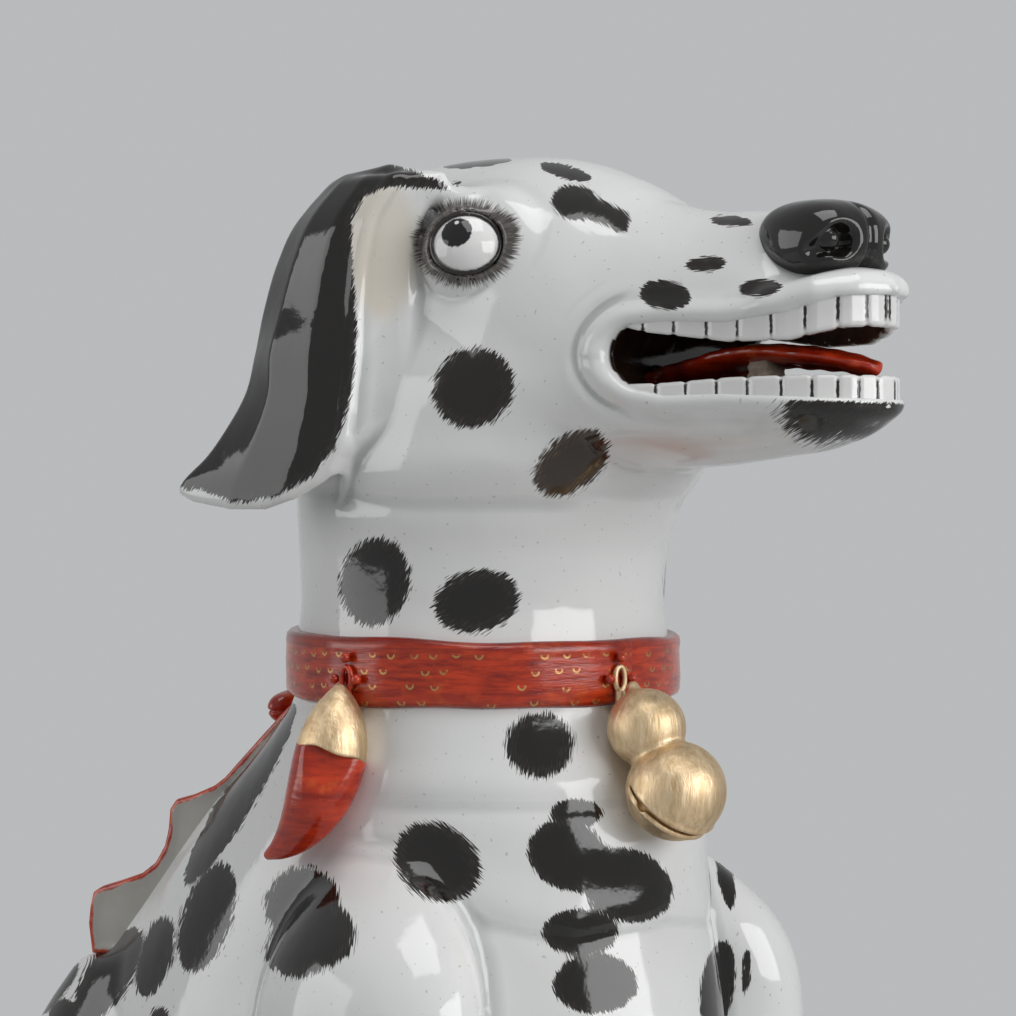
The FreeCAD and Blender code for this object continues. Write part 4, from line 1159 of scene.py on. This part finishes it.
def make_collar(material):
    verts, around, faces = [], [], []
    count = len(COLLAR_PROFILE)
    for n in range(COLLAR_TURNS):
        turn = 2 * math.pi * n / COLLAR_TURNS
        low = COLLAR_LOW + wavy(turn, (0.5, 2, 0.6), (0.35, 5, 0), (0.2, 11, 1))
        pulled = PULL_RISE * bump(math.remainder(turn - PULL_TURN, 2 * math.pi), PULL_WIDTH)
        high = COLLAR_HIGH + pulled + wavy(turn, (0.5, 2, -1.1), (0.4, 5, 2), (0.25, 9, 0))
        for share, radius in COLLAR_PROFILE:
            r = radius + (0.12 * math.sin(7 * turn + 9 * share) if radius > COLLAR_OUTSIDE else 0) - 0.1
            verts.append((r * math.sin(turn), r * math.cos(turn), low + (high - low) * share))
            around.append(turn * COLLAR_RADIUS)
        for k in range(count - 1):
            a, b = n * count + k, (n + 1) % COLLAR_TURNS * count + k
            faces.append((a, b, b + 1, a + 1))
    verts = np.array(verts)
    piece = mesh_piece("collar_band", verts, faces, material, ["collar_band"], "red_enamel")
    mark(piece, "around", around)
    mark(piece, "height", verts[:, 2] - COLLAR_UP)


# Charms: the gourd bell in front and a pepper on each side.
BELL_TURN = math.radians(-6)
BELL_SWING = math.radians(26)
BELL_OUT = np.array((math.sin(BELL_TURN), math.cos(BELL_TURN), 0))
BELL_TOP = BELL_OUT * 76.2 + (0, 0, 399)
BELL_DOWN = BELL_OUT * math.sin(BELL_SWING) + (0, 0, -math.cos(BELL_SWING))
UPPER_LOBE = BELL_TOP + BELL_DOWN * 12.9
LOWER_LOBE = BELL_TOP + BELL_DOWN * 35.0 + 2.9 * TO_RIGHT
BELL_NECK = [BELL_TOP - BELL_DOWN * 1.5, BELL_TOP + BELL_DOWN * 3], [2.0, 3.2]
UPPER_HALVES, LOWER_HALVES = (12.9, 12.9, 12.9), (16.4, 16.4, 16.2)
SLIT_NORMAL = 0.535 * TO_RIGHT + 0.425 * TO_CAMERA + (0, 0, 0.729)
SLIT_HALF, SLIT_LIP, SLIT_FLOOR = 0.55, 1.9, 13.2
BELL_HOLE = LOWER_LOBE + 16 * (-0.70 * TO_RIGHT + 0.62 * TO_CAMERA + (0, 0, -0.26))
BELL_HOLE_RADIUS = 1.7


def bell_field(p):
    """Two lobes, with a raised lip on each side of the slit and a small round hole."""
    form = join(egg(p, UPPER_LOBE, UPPER_HALVES), egg(p, LOWER_LOBE, LOWER_HALVES), 2.2)
    form = join(form, rope(p, *BELL_NECK), 1.5)
    away = p - LOWER_LOBE
    from_slit = np.abs(away @ SLIT_NORMAL + 4.4)
    deep = np.linalg.norm(away, axis=1)
    reach = step(-away[:, 2], -1, 3) * step(deep, 11, 12.5)
    form = form - reach * 0.7 * bump(from_slit - SLIT_LIP, 0.9)
    slit = np.where(away[:, 2] < 2, from_slit - SLIT_HALF, 5)
    form = carve(form, np.maximum(slit, SLIT_FLOOR - deep), 0.5)
    return carve(form, np.linalg.norm(p - BELL_HOLE, axis=1) - BELL_HOLE_RADIUS, 0.5)


PEPPER = [(72.6, 4, 398.6), (73.8, 4.6, 393), (75.2, 4.8, 387), (76.6, 4.2, 379), (78.4, 2.2, 369),
          (80.4, -1.5, 359.5), (82, -6.5, 352.4), (83.4, -12, 347.6), (84.4, -17.2, 344.8)]
FACET_AT, FACET_TOWARDS, FACET_OUT = (78.5, 2.2, 369), (0.62, 0.76, 0.20), 10.2
PEPPER_RADII = [2.6, 6.4, 9.6, 11.6, 11.2, 9.0, 6.3, 3.7, 1.5]
pepper_line, pepper_radii = smooth_rope(PEPPER, PEPPER_RADII, 41)


def cap_edge(p):
    """Negative in the gilt cap, whose lower edge waves round the pepper."""
    aside, ahead = p[:, 0] - 76, p[:, 1] - 4
    turn = np.arctan2(ahead, aside)
    edge = 379.6 + 0.8 * np.sin(2 * turn + 0.4) + 0.5 * np.sin(5 * turn)
    return edge - 0.197 * ahead + 0.184 * aside - p[:, 2]


def cap_field(p):
    return carve(rope(p, pepper_line, pepper_radii) - 0.15, -cap_edge(p), 0.8)


def pepper_field(p):
    form = rope(p, pepper_line, pepper_radii) - 0.2
    facet = (p - FACET_AT) @ FACET_TOWARDS - FACET_OUT
    form = carve(form, -facet, 2.2)
    return carve(form, cap_edge(p) + 0.6, 0.5)


# Ribbon: two fluted walls of clay down the back, 24 degrees each side of the spine, under a knot.
RIBBON_TURN = math.radians(24)
RIBBON_LINE = [(62, 396), (70, 388), (79, 379), (87, 370.5), (92, 365), (96, 362), (104, 358.6), (111, 356.6),
               (113.6, 353), (114.2, 346), (115.6, 340), (119, 334), (124, 330.2), (133, 327), (140, 324.8),
               (143.6, 322.5), (144.8, 317), (145.4, 311), (144, 300), (100, 300), (60, 330)]


def ribbon_places(p):
    sine, cosine = math.sin(RIBBON_TURN), math.cos(RIBBON_TURN)
    return p[:, 0] * sine - p[:, 1] * cosine, p[:, 0] * cosine + p[:, 1] * sine


def ribbon_field(p):
    back, aside = ribbon_places(p)
    outline = polygon_gap(back, p[:, 2], RIBBON_LINE)
    half = 12.4 + 0.5 * np.sin(back * 0.21) + 0.5 * bump(outline + 2, 2)
    form = carve(outline + 0.5 * (aside / 12) ** 2, -(np.abs(aside) - half), 1.2)
    return carve(form, torso(p) + 3.0, 0.5)


def ribbon_marks(verts):
    back, _ = ribbon_places(verts)
    return {"edge": -polygon_gap(back, verts[:, 2], RIBBON_LINE)}


KNOT_LOBE = (17.5, -74.5, 388), (13.5, 6.5, 7.0)
KNOT_MIDDLE = (0, -75.5, 388.2), (6.5, 7.2, 7.4)


def knot_field(p):
    side, up = np.abs(p[:, 0]), p[:, 2] - KNOT_LOBE[0][2]
    pleats = bump(np.sin(up * 0.55 + side * 0.12), 0.35) * step(side, 8, 16)
    return join(egg(p, *KNOT_LOBE, side) + pleats, egg(p, *KNOT_MIDDLE), 2)


# Small pieces. A row says name, field, marks or None, the box, share of the pitch, material and slot.
PAIRS = {"eyeball", "eyelid_rim", "pepper_cap", "pepper", "ribbon_tail"}


def make_pieces(rows):
    for name, field, marks, low, high, share, material, slot_name in rows:
        small_piece(name, field, low, high, PITCHES["small"] * share, material, slot_name, marks, name in PAIRS)


def make_face():
    upper, lower = Teeth(UPPER_EDGE, UPPER_LIP, UPPER_CUTS, 1), Teeth(LOWER_EDGE, LOWER_GUM, LOWER_CUTS, -1)
    white = tooth_glaze("tooth_glaze")
    make_pieces((
        ("eyeball", eyeball_field, eyeball_marks, (26, 20, 526), (60, 54, 560), 1,
         eye_glaze("eye_glaze"), "tooth_glaze"),
        ("eyelid_rim", lid_field, None, (34, 22, 524), (68, 66, 562), 0.8,
         lid_glaze("lid_glaze"), "black_glaze"),
        ("nose_pad", nose_field, None, (-23, 124, 526), (23, 170, 559), 1,
         black_gloss("nose_glaze"), "black_glaze"),
        ("upper_teeth", upper.field, upper.marks, (-40, 88, 508), (40, 176, 532), 1,
         white, "tooth_glaze"),
        ("lower_teeth", lower.field, lower.marks, (-40, 88, 486), (40, 176, 503), 1,
         white, "tooth_glaze"),
        ("tongue", tongue_field, None, (-19, 78, 492), (19, 172, 518), 1,
         red_enamel("tongue_enamel"), "red_enamel"),
        ("tongue_prop", prop_field, None, (-15, 123, 491), (2, 136, 510), 1,
         bare_clay("prop_clay"), "bare_clay")))


def make_finery():
    make_collar(collar_enamel("collar_enamel"))
    make_pieces((
        ("gourd_bell", bell_field, None, (-30, 64, 346), (12, 112, 404), 1,
         gilding("bell_gilding"), "gilding"),
        ("pepper_cap", cap_field, None, (60, -12, 374), (92, 20, 404), 1,
         gilding("cap_gilding"), "gilding"),
        ("pepper", pepper_field, None, (60, -24, 340), (96, 20, 386), 1,
         red_enamel("pepper_enamel"), "red_enamel"),
        ("ribbon_tail", ribbon_field, ribbon_marks, (0, -150, 296), (84, -50, 400), 1.8,
         ribbon_enamel("ribbon_enamel"), "red_enamel"),
        ("ribbon_knot", knot_field, None, (-36, -88, 377), (36, -66, 400), 1.2,
         red_enamel("knot_enamel"), "red_enamel")))


def dress_loops():
    """The beads and loops are shown as they are in CAD, with a material of their own."""
    red, gilt = red_enamel("loop_enamel"), gilding("loop_gilding")
    for node, enamel in {"lug_beads": red, "front_charm_loop": gilt, "left_charm_loop": red,
                         "right_charm_loop": red}.items():
        materials = frame["nodes"][node].data.materials
        materials.clear()
        materials.append(enamel)


PITCHES = {"body": 2.0, "head": 1.15, "small": 0.55}
make_camera()
make_floor()
make_lights()
painted_piece("body", body_field, (-126, -262, -3), (126, 108, 404), PITCHES["body"],
              ["torso", "left_foreleg", "right_foreleg", "left_haunch", "right_haunch", "left_hind_paw",
               "right_hind_paw", "tail"], porcelain("body_glaze", False), False)
painted_piece("head", head_field, (-96, -70, 392), (96, 182, 586), PITCHES["head"],
              ["head_shell", "lower_jaw", "left_ear", "right_ear"], porcelain("head_glaze", True), True)
make_face()
make_finery()
dress_loops()

bpy.context.scene.view_settings.view_transform = "Standard"
